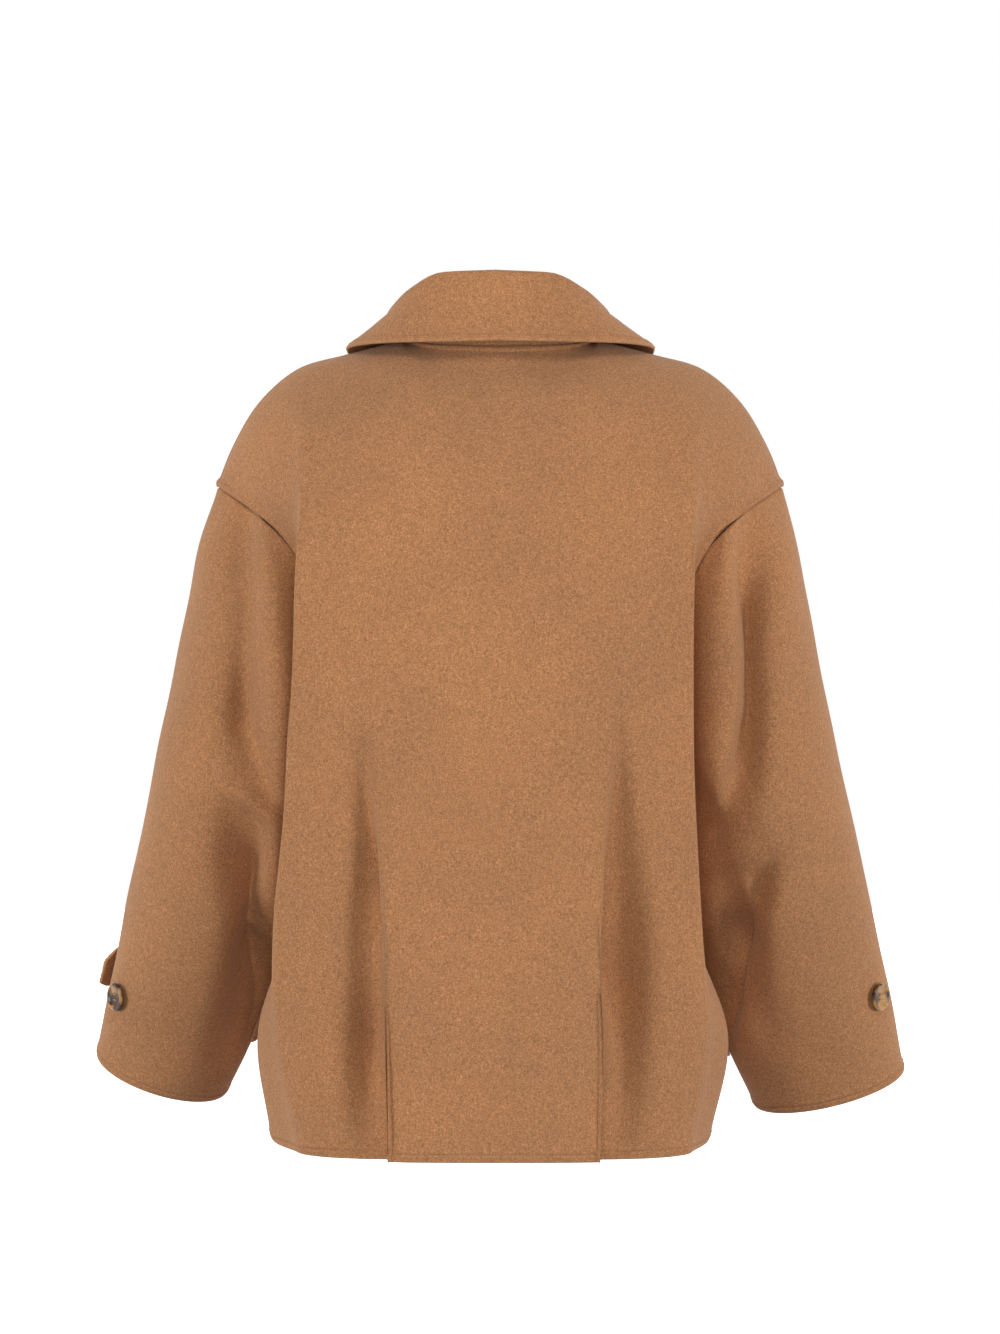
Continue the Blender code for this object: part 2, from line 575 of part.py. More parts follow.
def build_collar(back, fronts, neck_steps, gorge_row):
    """The collar as a grid: rows from the neck seam to the free edge, columns round the neck."""
    half = {}
    middle = back.points.shape[1] // 2
    for side in (LEFT, RIGHT):
        neck = [back.points[-1, middle - side * step] for step in range(neck_steps + 1)]
        neck += list(fronts[side].points[gorge_row:-1, 0][::-1])
        neck = np.array(neck)
        steps = np.linalg.norm(np.diff(neck, axis=0), axis=1)
        along = np.concatenate([[0], np.cumsum(steps)]) / steps.sum()
        columns = []
        for base, share in zip(neck, along):
            values = [
                between(COLLAR_STATIONS, "along", share, name)
                for name in ("fold_out", "fold_up", "edge_out", "edge_up")
            ]
            facing = radians(between(COLLAR_STATIONS, "along", share, "facing"))
            out = np.array([side * cos(facing), sin(facing), 0.0])
            lean = np.array([COLLAR_LEAN / COLLAR_STATIONS[0].fold_up, 0.0, 1.0])
            columns.append([base + out * a + lean * b for a, b in collar_profile(values)])
        half[side] = np.array(columns)
    grid = np.concatenate([half[LEFT][:0:-1], half[RIGHT]])
    return Panel("collar", grid.transpose(1, 0, 2))


def push_out(points, panels, clear):
    """Moves points that lie under or too near a panel out along its normal."""
    corners, faces = [], []
    for panel in panels:
        rows, columns = panel.points.shape[:2]
        faces += triangles(rows, columns, panel.closed, len(corners), panel.outwards < 0)
        corners += [Vector(corner) for corner in panel.points.reshape(-1, 3)]
    tree = BVHTree.FromPolygons(corners, faces)
    moved = points.reshape(-1, 3).copy()
    for number, point in enumerate(moved):
        nearest, normal, _, _ = tree.find_nearest(Vector(point))
        nearest, normal = np.array(nearest), np.array(normal)
        height = np.dot(point - nearest, normal)
        beside = np.linalg.norm(point - nearest - normal * height)
        if height < clear and beside < clear:
            moved[number] = point + normal * (clear - height)
    return moved.reshape(points.shape)


def front_place(front, row, x):
    """The point and normal of a front at a row number and a distance x from the centre front."""
    rows = np.array(BODY_ROWS, float)
    index = int(np.clip(np.searchsorted(rows, row, side="right") - 1, 0, len(rows) - 2))
    part = (row - rows[index]) / (rows[index + 1] - rows[index])
    found = []
    for number in (index, index + 1):
        way = front.points[number, :, 0] * front.outwards
        for values in (front.points[number], front.normals[number]):
            found.append(np.array([np.interp(x, way, values[:, axis]) for axis in range(3)]))
    point = found[0] * (1 - part) + found[2] * part
    return point, unit(found[1] * (1 - part) + found[3] * part)


def build_lapel(side, front):
    """A lapel over its front: rows from the break up to the gorge, columns outwards."""
    start = 0.0 if side == RIGHT else LEFT_LAPEL_START
    top = LAPEL_ROWS[-1].along
    rolled = [number for number in BODY_ROWS if BREAK_ROW <= number <= GORGE_ROW]
    alongs = [(number - BREAK_ROW) / (GORGE_ROW - BREAK_ROW) for number in rolled]
    alongs = [start] + [along for along in alongs if start + 0.02 < along < top - 0.02] + [top]
    grid, normals = [], []
    for along in alongs:
        width = between(LAPEL_ROWS, "along", along, "width")
        lift = between(LAPEL_ROWS, "along", along, "lift")
        number = BREAK_ROW + along * (GORGE_ROW - BREAK_ROW)
        roll = np.interp(number, range(len(FRONT_LEVELS)), [level.x_start for level in FRONT_LEVELS])
        first = roll if side == RIGHT else max(roll, LAPEL_PART - roll)
        row, row_normals = [], []
        for share in np.linspace(0, 1, LAPEL_COLUMNS + 1):
            x = first + (roll + width - first) * share
            place = number - (number - BREAK_ROW) * LAPEL_FALL * along**3 * share
            point, normal = front_place(front, place, x)
            rise = LAPEL_RISE * fade(share, 0.0, 0.3) + lift * share
            row.append(point + normal * (WALL + REST_GAP + rise))
            row_normals.append(normal)
        grid.append(row)
        normals.append(row_normals)
    name = "lapel_left" if side == LEFT else "lapel_right"
    panel = Panel(name, np.array(grid), outwards=side)
    panel.normals = np.array(normals)
    return panel


def grid_place(panel, row, column):
    """The point and normal of a panel between four of its grid's points."""
    top, left = int(row), int(column)
    down, right = row - top, column - left
    found = []
    for values in (panel.points, panel.normals):
        upper = values[top, left] * (1 - right) + values[top, left + 1] * right
        lower = values[top + 1, left] * (1 - right) + values[top + 1, left + 1] * right
        found.append(upper * (1 - down) + lower * down)
    return found[0], unit(found[1])


def build_strap(side, sleeve, angles, rows):
    """A cuff strap over the front of a sleeve, pointed at its outer end."""
    strap = STRAPS[side]
    top, bottom = (rows.index(row) for row in STRAP_ROWS)
    columns = [k for k, angle in enumerate(angles) if strap.angle_start <= angle <= strap.angle_end]
    lift = WALL + STRAP_GAP
    upper = sleeve.points[top, columns] + sleeve.normals[top, columns] * lift
    lower = sleeve.points[bottom, columns] + sleeve.normals[bottom, columns] * lift
    upper_normals = sleeve.normals[top, columns]
    normals = unit(upper_normals + sleeve.normals[bottom, columns])
    middle = (upper + lower) / 2
    half = (upper - lower) / 2
    middles, halves, faces = list(middle), list(half), list(normals)
    onward = unit(unit(middle[-1] - middle[-2]) - np.array([0.0, 0.0, strap.droop]))
    for distance, share in STRAP_TIP:
        bow = (1 - strap.standing_off) * distance**2 / (2 * STRAP_BEND)
        middles.append(middle[-1] + onward * distance - normals[-1] * bow)
        halves.append(half[-1] * share)
        turn = (1 - strap.standing_off) * distance / STRAP_BEND
        faces.append(unit(normals[-1] + onward * turn))
    middles, halves, faces = (np.array(values) for values in (middles, halves, faces))
    grid = np.array([middles + halves, middles, middles - halves])
    name = "cuff_strap_left" if side == LEFT else "cuff_strap_right"
    panel = Panel(name, grid, outwards=-side)
    panel.normals = np.array([faces, faces, faces])
    return panel


# ---------------------------------------------------------------- buttons
def button_mesh(radius, place, normal):
    """A turned button with a raised rim, on a short thread shank that stands on the cloth."""
    under = THREAD_SHANK_HEIGHT
    top = under + BUTTON_THICKNESS
    profile = (
        (THREAD_SHANK_RADIUS, 0.0),
        (THREAD_SHANK_RADIUS, under),
        (0.80 * radius, under),
        (radius, under + 0.45 * BUTTON_THICKNESS),
        (0.93 * radius, top),
        (0.76 * radius, top - 0.25 * BUTTON_THICKNESS),
    )
    across = unit(np.cross(normal, np.array([0.0, 0.0, 1.0])))
    upwards = np.cross(across, normal)
    base = place + normal * REST_GAP
    points = [base]
    for reach, height in profile:
        for segment in range(BUTTON_SEGMENTS):
            turn = 2 * pi * segment / BUTTON_SEGMENTS
            points.append(base + normal * height + (across * cos(turn) - upwards * sin(turn)) * reach)
    points.append(base + normal * profile[-1][1])
    faces = []
    for segment in range(BUTTON_SEGMENTS):
        onward = (segment + 1) % BUTTON_SEGMENTS
        faces.append((0, 1 + onward, 1 + segment))
        for ring in range(len(profile) - 1):
            a = 1 + ring * BUTTON_SEGMENTS + segment
            b = 1 + ring * BUTTON_SEGMENTS + onward
            faces += [(a, b, b + BUTTON_SEGMENTS), (a, b + BUTTON_SEGMENTS, a + BUTTON_SEGMENTS)]
        last = 1 + (len(profile) - 1) * BUTTON_SEGMENTS
        faces.append((last + segment, last + onward, len(points) - 1))
    return np.array(points), faces


def seat(points, faces, near, normal):
    """Where a line through near along normal meets a mesh, and the facet's own normal."""
    tree = BVHTree.FromPolygons([Vector(point) for point in points], faces)
    start = Vector(near + normal * 0.03)
    place, facet_normal, _, _ = tree.ray_cast(start, Vector(-normal))
    return np.array(place), np.array(facet_normal)


# ---------------------------------------------------------------- making objects
def wool_material():
    material = bpy.data.materials.new("camel_wool")
    material.use_nodes = True
    shader = material.node_tree.nodes["Principled BSDF"]
    shader.inputs["Base Color"].default_value = (0.413, 0.195, 0.086, 1.0)
    shader.inputs["Roughness"].default_value = 0.95
    shader.inputs["Metallic"].default_value = 0.0
    return material


def horn_material():
    material = bpy.data.materials.new("brown_horn")
    material.use_nodes = True
    shader = material.node_tree.nodes["Principled BSDF"]
    shader.inputs["Base Color"].default_value = (0.085, 0.040, 0.018, 1.0)
    shader.inputs["Roughness"].default_value = 0.25
    shader.inputs["Metallic"].default_value = 0.0
    return material


def add_object(name, points, faces, material):
    mesh = bpy.data.meshes.new(name)
    mesh.from_pydata([tuple(point) for point in points], [], faces)
    mesh.shade_smooth()
    mesh.set_sharp_from_angle(angle=radians(50))
    mesh.materials.append(material)
    piece = bpy.data.objects.new(name, mesh)
    bpy.context.scene.collection.objects.link(piece)
    return piece


def build_panels():
    """Every piece of cloth, sewn together in one smooth surface before it is parted."""
    arm_row = BODY_ROWS.index(UNDERARM)
    gorge_row = BODY_ROWS.index(GORGE_ROW)
    back = build_back(NECK_STEPS, NECK_TO_EDGE, BODY_ROWS)
    fronts = {side: build_front(side, FRONT_PLACES, BODY_ROWS) for side in (LEFT, RIGHT)}
    sleeves, angles = {}, {}
    for side in (LEFT, RIGHT):
        sleeves[side], angles[side] = build_sleeve(side, back, fronts[side], SLEEVE_ROWS, arm_row)
    collar = build_collar(back, fronts, NECK_STEPS, gorge_row)
    collar.points[COLLAR_LEAF_ROW:] = push_out(
        collar.points[COLLAR_LEAF_ROW:], [back, *fronts.values()], COLLAR_CLEAR
    )
    collar.normals = grid_normals(collar.points, False)
    sewn = [back, *fronts.values(), *sleeves.values(), collar]
    share_normals(sewn)
    for side in ("first", "last", "top"):
        back.stop_short(side)
    for front in fronts.values():
        front.stop_short("last")
        front.stop_short("top")
    for sleeve in sleeves.values():
        sleeve.stop_short("bottom")
    collar.stop_short("bottom", COLLAR_SHIFT)
    laid = [build_lapel(side, fronts[side]) for side in (LEFT, RIGHT)]
    laid += [build_strap(side, sleeves[side], angles[side], SLEEVE_ROWS) for side in (LEFT, RIGHT)]
    return sewn + laid, fronts, sleeves, angles


def add_front_buttons(front, material):
    points, faces = wall_mesh(front)
    levels = [level.z_mid for level in FRONT_LEVELS]
    for number, height in enumerate(FRONT_BUTTON_HEIGHTS, start=1):
        row = np.interp(height, levels, range(len(levels)))
        for word, x in (("outer", -FRONT_BUTTON_OFFSET), ("inner", FRONT_BUTTON_OFFSET)):
            near, normal = front_place(front, row, x)
            place, facing = seat(points, faces, near, normal)
            mesh = button_mesh(FRONT_BUTTON_RADIUS, place, facing)
            add_object(f"front_button_{word}_{number}", *mesh, material)


def add_cuff_button(side, sleeve, angles, material):
    points, faces = wall_mesh(sleeve)
    spot = CUFF_BUTTONS[side]
    column = np.interp(spot.angle, angles, range(len(angles)))
    row = np.interp(spot.ring, SLEEVE_ROWS, range(len(SLEEVE_ROWS)))
    near, normal = grid_place(sleeve, row, column)
    place, facing = seat(points, faces, near, normal)
    word = "left" if side == LEFT else "right"
    add_object(f"cuff_button_{word}", *button_mesh(CUFF_BUTTON_RADIUS, place, facing), material)


def main():
    for old in list(bpy.data.objects):
        bpy.data.objects.remove(old)
    wool, horn = wool_material(), horn_material()
    panels, fronts, sleeves, angles = build_panels()
    for panel in panels:
        add_object(panel.name, *wall_mesh(panel), wool)
    add_front_buttons(fronts[RIGHT], horn)
    for side in (LEFT, RIGHT):
        add_cuff_button(side, sleeves[side], angles[side], horn)


main()
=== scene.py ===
"""The short double-breasted coat of thick felted wool, with its folds, seams, stitches and buttons.

Frame: +Z is up, the wearer faces -Y, and the wearer's left side is +X. Metres. Each panel of
cloth is drawn from the same named sections as its solid, on a finer grid, then gets its
creases, seam bands and rounded edges as relief along its normals, and its thickness.
"""

from collections import namedtuple
from math import cos, pi, radians, sin

import bpy
import numpy as np
from mathutils import Matrix, Vector
from mathutils.bvhtree import BVHTree


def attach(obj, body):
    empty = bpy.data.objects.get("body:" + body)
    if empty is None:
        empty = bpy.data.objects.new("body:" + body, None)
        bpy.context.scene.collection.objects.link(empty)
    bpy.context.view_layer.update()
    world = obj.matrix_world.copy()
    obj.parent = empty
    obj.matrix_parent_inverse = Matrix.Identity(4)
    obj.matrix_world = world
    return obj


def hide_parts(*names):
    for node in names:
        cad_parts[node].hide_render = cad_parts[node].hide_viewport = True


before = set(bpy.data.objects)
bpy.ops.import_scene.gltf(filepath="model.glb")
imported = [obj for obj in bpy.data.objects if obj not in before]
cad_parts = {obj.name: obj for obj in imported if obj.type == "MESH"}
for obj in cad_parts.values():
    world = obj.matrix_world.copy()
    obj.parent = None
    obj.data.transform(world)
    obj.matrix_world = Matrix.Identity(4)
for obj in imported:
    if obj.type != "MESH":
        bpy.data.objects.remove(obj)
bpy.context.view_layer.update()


# ---------------------------------------------------------------- driving dimensions
WALL = 0.003  # double-faced wool cloth
REST_GAP = 0.0004  # what lies on a panel keeps this far off it
LAP_DEPTH = 0.0046  # how far the left front is tucked in under the right one
LAP_FADE = (0.095, 0.128)  # where that tuck ends, from the centre front

NECK_HALF_WIDTH = 0.085  # of the neck opening, at the shoulder seams
NECK_BACK_DEPTH = 0.068  # from there to the back neck seam
NECK_SIDE_RISE = 0.012  # of the shoulder seams above the back neck seam
SHOULDER_REACH = 0.250  # dropped shoulder point, from the centre
BACK_SQUARENESS = 4.0  # how flat the back is between its two side folds
FRONT_SQUARENESS = 3.0  # how flat each front is up to its flank
RIDGE_TURN = 0.28  # the side fold is over this share of the way from its ridge to the hollow
SHOULDER_TURN = 1.15  # how full the cloth is where it comes up to the shoulder seam
DEEP_PLEAT = 0.012  # from this depth on, the pleat's foot lies back under its fold
PLEAT_UNDERCUT = 0.004  # by this much
PLEAT_FOOT = 0.06  # where that foot is, as a share of the way from the pleat fold to the ridge
PLEAT_OPENS = 0.15  # from this share on, the cloth comes back out to the ridge
UNDERCUT_ENDS = 0.25  # and at this share the foot is back out from under its fold
SHARP_COLUMNS = 3  # so many columns next to an armhole turn sharply at the underarm
FOLD_FULLNESS = 0.7  # below 1, a sleeve fold keeps its height over more of its length

FRONT_BUTTON_RADIUS = 0.014
CUFF_BUTTON_RADIUS = 0.0125
BUTTON_THICKNESS = 0.0045
THREAD_SHANK_RADIUS = 0.0024
THREAD_SHANK_HEIGHT = 0.0016
FRONT_BUTTON_OFFSET = 0.066  # from the centre front, both columns
FRONT_BUTTON_HEIGHTS = (-0.315, -0.430, -0.545)

LEFT, RIGHT = 1, -1

# ---------------------------------------------------------------- tables of sections
# The line where a body panel ends at the side: side seam up to the underarm, then armhole.
EdgeLevel = namedtuple("EdgeLevel", "z x_left x_right y_back y_front")
EDGE_LEVELS = (
    EdgeLevel(-0.691, 0.2025, 0.1845, 0.000, 0.000),  # hem
    EdgeLevel(-0.600, 0.2040, 0.1900, 0.000, 0.000),  # skirt
    EdgeLevel(-0.500, 0.1720, 0.1590, 0.000, 0.000),  # hip
    EdgeLevel(-0.420, 0.1530, 0.1500, 0.000, 0.000),  # waist
    EdgeLevel(-0.335, 0.1520, 0.1520, 0.000, 0.000),  # underarm
    EdgeLevel(-0.320, 0.1500, 0.1500, 0.030, -0.030),
    EdgeLevel(-0.280, 0.1480, 0.1480, 0.060, -0.058),
    EdgeLevel(-0.230, 0.1550, 0.1550, 0.075, -0.072),
    EdgeLevel(-0.181, 0.1756, 0.1756, 0.080, -0.075),
    EdgeLevel(-0.144, 0.2125, 0.2125, 0.060, -0.055),
    EdgeLevel(-0.127, 0.2365, 0.2365, 0.033, -0.031),
    EdgeLevel(-0.118, SHOULDER_REACH, SHOULDER_REACH, 0.000, 0.000),  # shoulder point
)
UNDERARM = 4  # the number of the underarm's section
BREAK_ROW = 6  # here the lapel starts to roll
GORGE_ROW = 10  # here the roll line meets the neckline
SHOULDER_ROW = 11  # the shoulder seams, and the back neck seam between them

# The back: centre line, side fold (ridge), pleat fold (crease) and its depth, and the hollow
# outside the ridge. BACK_SHARES are the places of a section's points from the centre to the
# ridge; after it the section turns, and goes through the hollow to the side.
BACK_SHARES = (0.0, 0.25, 0.5, 0.7, 0.84, 0.94, 1.0)
BACK_BEYOND = (1.22, 2.0, 3.0)
BackLevel = namedtuple(
    "BackLevel",
    "z_mid y_mid z_ridge y_ridge ridge_left ridge_right "
    "crease_left crease_right pleat y_hollow hollow_left hollow_right",
)
BACK_LEVELS = (
    BackLevel(-0.691, 0.167, -0.691, 0.122, 0.1680, 0.1600, 0.0937, 0.0836, 0.012, 0.066, 0.1935, 0.1785),
    BackLevel(-0.600, 0.163, -0.600, 0.114, 0.1890, 0.1757, 0.0955, 0.0860, 0.016, 0.055, 0.2100, 0.1975),
    BackLevel(-0.500, 0.159, -0.500, 0.116, 0.1925, 0.1709, 0.0972, 0.0830, 0.013, 0.060, 0.1820, 0.1660),
    BackLevel(-0.420, 0.156, -0.420, 0.124, 0.1850, 0.1665, 0.1020, 0.0803, 0.006, 0.075, 0.1690, 0.1570),
    BackLevel(-0.330, 0.154, -0.332, 0.127, 0.1795, 0.1640, 0.1000, 0.0810, 0.000, 0.085, 0.1620, 0.1560),
    BackLevel(-0.300, 0.153, -0.306, 0.128, 0.1770, 0.1635, 0.0980, 0.0815, 0.000, 0.090, 0.1600, 0.1540),
    BackLevel(-0.255, 0.151, -0.263, 0.129, 0.1750, 0.1635, 0.0960, 0.0820, 0.000, 0.097, 0.1580, 0.1535),
    BackLevel(-0.205, 0.147, -0.214, 0.129, 0.1735, 0.1645, 0.0940, 0.0830, 0.000, 0.102, 0.1600, 0.1570),
    BackLevel(-0.150, 0.140, -0.163, 0.126, 0.1710, 0.1655, 0.0910, 0.0840, 0.000, 0.102, 0.1720, 0.1700),
    BackLevel(-0.095, 0.126, -0.116, 0.115, 0.1690, 0.1665, 0.0880, 0.0850, 0.000, 0.090, 0.1900, 0.1890),
    BackLevel(-0.045, 0.103, -0.066, 0.088, 0.1700, 0.1690, 0.0860, 0.0850, 0.000, 0.068, 0.2040, 0.2040),
)

# The fronts, each measured from the centre front towards its own side: the free edge, the
# flank, where the front turns back, and the hollow beside the side seam. FRONT_SHARES are the
# places of a section's points from the free edge to the flank.
FRONT_SHARES = (0.0, 0.2, 0.4, 0.6, 0.8, 0.92, 1.0)
FRONT_BEYOND = (2.0, 3.0)
FrontLevel = namedtuple(
    "FrontLevel", "z_mid y_front x_start z_flank x_flank y_flank hollow_in y_hollow"
)
FRONT_EDGE = -0.085  # each front runs this far past the centre
FRONT_LEVELS = (
    FrontLevel(-0.691, -0.150, FRONT_EDGE, -0.691, 0.160, -0.112, 0.009, -0.060),
    FrontLevel(-0.600, -0.149, FRONT_EDGE, -0.600, 0.163, -0.110, 0.008, -0.056),
    FrontLevel(-0.500, -0.146, FRONT_EDGE, -0.500, 0.145, -0.109, 0.006, -0.058),
    FrontLevel(-0.420, -0.144, FRONT_EDGE, -0.420, 0.138, -0.110, 0.003, -0.060),
    FrontLevel(-0.335, -0.143, FRONT_EDGE, -0.335, 0.137, -0.114, 0.001, -0.065),
    FrontLevel(-0.305, -0.143, FRONT_EDGE, -0.308, 0.137, -0.115, 0.000, -0.078),
    FrontLevel(-0.270, -0.142, FRONT_EDGE, -0.274, 0.138, -0.115, -0.001, -0.090),
    FrontLevel(-0.215, -0.138, -0.0499, -0.222, 0.140, -0.113, 0.002, -0.097),
    FrontLevel(-0.155, -0.126, -0.0115, -0.168, 0.143, -0.106, 0.012, -0.094),
    FrontLevel(-0.095, -0.104, 0.0268, -0.118, 0.150, -0.093, 0.028, -0.080),
    FrontLevel(-0.040, -0.066, 0.0620, -0.068, 0.160, -0.072, 0.034, -0.058),
)

# The shoulder seam, from the neck to the shoulder point.
ShoulderPoint = namedtuple("ShoulderPoint", "x z")
SHOULDER_LINE = (
    ShoulderPoint(NECK_HALF_WIDTH, NECK_SIDE_RISE),
    ShoulderPoint(0.140, -0.0030),
    ShoulderPoint(0.178, -0.0145),
    ShoulderPoint(0.210, -0.0410),
    ShoulderPoint(0.235, -0.0810),
    ShoulderPoint(SHOULDER_REACH, -0.1180),
)

# Sleeve rings below the armhole: outer and inner side, and middle and half of the depth.
# back_dip lowers the ring's back side.
Ring = namedtuple("Ring", "x_outer z_outer x_inner z_inner y_mid half_depth back_dip")
SLEEVE_RINGS = {
    LEFT: (
        Ring(0.2640, -0.165, 0.1590, -0.356, 0.002, 0.085, 0.000),
        Ring(0.2750, -0.215, 0.1610, -0.388, 0.000, 0.086, 0.000),
        Ring(0.2890, -0.280, 0.1640, -0.428, -0.003, 0.085, 0.000),
        Ring(0.3060, -0.360, 0.1730, -0.478, -0.008, 0.082, 0.003),
        Ring(0.3230, -0.440, 0.1880, -0.530, -0.018, 0.076, 0.006),
        Ring(0.3400, -0.515, 0.2060, -0.578, -0.034, 0.067, 0.009),
        Ring(0.3550, -0.580, 0.2290, -0.626, -0.050, 0.058, 0.011),
        Ring(0.3655, -0.627, 0.2480, -0.663, -0.060, 0.053, 0.014),
    ),
    RIGHT: (
        Ring(0.2620, -0.165, 0.1590, -0.357, 0.002, 0.085, 0.000),
        Ring(0.2715, -0.217, 0.1610, -0.391, 0.000, 0.086, 0.000),
        Ring(0.2850, -0.284, 0.1630, -0.434, -0.003, 0.085, 0.000),
        Ring(0.3030, -0.366, 0.1680, -0.486, -0.008, 0.082, 0.003),
        Ring(0.3220, -0.448, 0.1770, -0.541, -0.018, 0.076, 0.006),
        Ring(0.3405, -0.526, 0.1920, -0.592, -0.034, 0.067, 0.008),
        Ring(0.3570, -0.598, 0.2125, -0.637, -0.050, 0.058, 0.009),
        Ring(0.3665, -0.641, 0.2305, -0.675, -0.060, 0.053, 0.011),
    ),
}

# Large sleeve folds. along is 0 at the armhole and 1 at the cuff, angle is in degrees from
# the outer side towards the back, spread is the half width in degrees.
Fold = namedtuple("Fold", "along_start along_end angle_start angle_end spread height")
SLEEVE_FOLDS = {
    LEFT: (
        Fold(0.06, 0.60, 118, 128, 13, 0.007),
        Fold(0.10, 0.62, 90, 98, 14, -0.004),
        Fold(0.62, 0.95, 135, 142, 20, -0.008),
        Fold(0.15, 0.70, 262, 240, 18, -0.005),
        Fold(0.55, 0.90, 300, 285, 16, 0.004),
    ),
    RIGHT: (
        Fold(0.08, 0.50, 116, 124, 13, 0.007),
        Fold(0.30, 0.85, 140, 120, 15, -0.008),
        Fold(0.50, 0.80, 112, 140, 10, 0.005),
        Fold(0.18, 0.74, 258, 244, 18, -0.005),
        Fold(0.50, 0.88, 296, 288, 16, 0.004),
    ),
}

# The collar from the centre back (0) to the gorge (1): its fold and its free edge, each
# measured outwards and upwards from the neck seam.
CollarStation = namedtuple("CollarStation", "along fold_out fold_up edge_out edge_up facing")
COLLAR_STATIONS = (
    CollarStation(0.00, 0.012, 0.0612, 0.027, 0.001, 90),
    CollarStation(0.20, 0.012, 0.0588, 0.031, -0.001, 66),
    CollarStation(0.35, 0.010, 0.0448, 0.039, -0.003, 46),
    CollarStation(0.47, 0.009, 0.0305, 0.047, -0.006, 27),
    CollarStation(0.58, 0.009, 0.0215, 0.051, -0.0095, 8),
    CollarStation(0.80, 0.008, 0.0130, 0.057, -0.021, -14),
    CollarStation(1.00, 0.006, 0.0070, 0.064, -0.031, -22),
)
COLLAR_ROLL = 0.0034  # inner radius of the fold at the top of the collar's stand
LEAF_SAG = 0.10  # how hollow the leaf is, as a share of its reach
COLLAR_LEAF_ROW = 6  # from here on the collar lies over the body
COLLAR_CLEAR = 0.0042  # how far the leaf stays off the body
COLLAR_LEAN = 0.0035  # how far the standing collar leans to the wearer's left at its fold

# The lapel, from the break (0) to the gorge (1): its width outwards from the roll line.
LapelRow = namedtuple("LapelRow", "along width lift")
LAPEL_ROWS = (
    LapelRow(0.00, 0.003, 0.0000),
    LapelRow(0.08, 0.016, 0.0003),
    LapelRow(0.25, 0.040, 0.0010),
    LapelRow(0.50, 0.066, 0.0020),
    LapelRow(0.75, 0.083, 0.0035),
    LapelRow(0.98, 0.078, 0.0045),
)
LAPEL_FALL = 0.20  # how much lower the lapel's tip is than its start, as a share of its rows
LAPEL_RISE = 0.0012  # clears the front's rounding between its edge and the lapel's edge
LEFT_LAPEL_START = 0.425  # lower down the left lapel would be hidden under the right front
LAPEL_PART = 0.005  # the left lapel keeps this far off the right front's edge

# Each cuff strap runs over the front of its sleeve, between these angles. The left one's
# pointed tip stands off, past the sleeve's outer edge.
Strap = namedtuple("Strap", "angle_start angle_end standing_off droop")
STRAPS = {LEFT: Strap(174, 322, 1.0, 0.45), RIGHT: Strap(174, 290, 0.0, 0.0)}
STRAP_TIP = ((0.016, 1.0), (0.030, 0.80), (0.040, 0.50))  # (distance, share of the width)
STRAP_GAP = 0.0006
STRAP_BEND = 0.055  # bend radius of a strap's end that follows the sleeve

# Cuff buttons: sleeve ring number and degrees from the outer side towards the back.
CuffButton = namedtuple("CuffButton", "ring angle")
CUFF_BUTTONS = {LEFT: CuffButton(6.70, 36), RIGHT: CuffButton(6.48, 36)}
STRAP_RINGS = (6.1, 6.77)  # each strap lies between these sleeve ring numbers
STRAP_WIDTH = 0.032
TIP_STARTS = 0.012  # over this way a strap's tip leaves the sleeve's curve

# Where the columns of a body panel lie. On the back, 1 is the ridge, 2 the hollow and 3 the
# side; below 1 it is the share of the way from the pleat fold. On a front, 0 is the free edge,
# 1 the flank, 2 the hollow and 3 the side.
NECK_STEPS = 5  # from the centre back to the pleat fold, or along half the back neck seam
NECK_TO_EDGE = (0.06, 0.22, 0.45, 0.68, 0.86, 0.95, 1.0, 1.22, 1.6, 2.0, 2.5, 3.0)
FRONT_PLACES = (0.0, 0.1, 0.22, 0.35, 0.48, 0.61, 0.74, 0.85, 0.93, 1.0, 1.5, 2.0, 3.0)

# ---------------------------------------------------------------- finer shape
PLEAT_LEVELS = (-0.691, -0.600, -0.500, -0.420, -0.330)  # heights of the shares below
PLEAT_FEET = (0.06, 0.07, 0.26, 0.50, 0.50)  # of the way to the ridge, over which a pleat falls
LAPEL_LENGTH = 0.25  # of the roll line, from the break to the gorge
LAPEL_STEP = 1 / 56  # between the lapel's rows, as a share of that length
LAPEL_COLUMNS = 18
LAPEL_NARROWEST = 0.003
ROLL_COLUMNS = 10
ROLL_STARTS = 80  # degrees through which a lapel that lies flat is turned at its edge
ROLL_TURNS = 100  # so many more where it is rolled
ROLL_SOFT = 0.004  # over this way a hidden roll becomes a flat edge
AWAY_STEP = 0.002  # between two places that give the direction out of an edge
STRAP_STEP = 2.5  # degrees between a strap's columns
STRAP_DEGREE = 0.00095  # the length of one such degree
RIM_LEFT = 0.00015  # half of the thickness that is left at the very edge of the cloth
WORN_WIDTH = 0.0035  # how far in from an edge the nap is worn

WANDER_WAVES = 10
WANDER_LENGTHS = (0.05, 0.22)  # the shortest and the longest wave of the cloth's unevenness
WANDER_GAIN = 1.6  # brings the sum of its waves to about 1
CREASE_WAVES = ((0.22, 7), (0.12, 17))  # (share of its height, radians along it), each a wave
CREASE_WIDENING = (0.25, 5)  # the same for its width
CREASE_FULLNESS = 0.85  # below 1, a crease keeps its height over more of its length
CREASE_FALL = 1.6  # how fast it falls off sideways
CREASE_SEEN = (-0.15, 0.35)  # how far the cloth must face a crease's own side to have it
SEED_STEP = 11  # between the creases of panels whose names differ in length

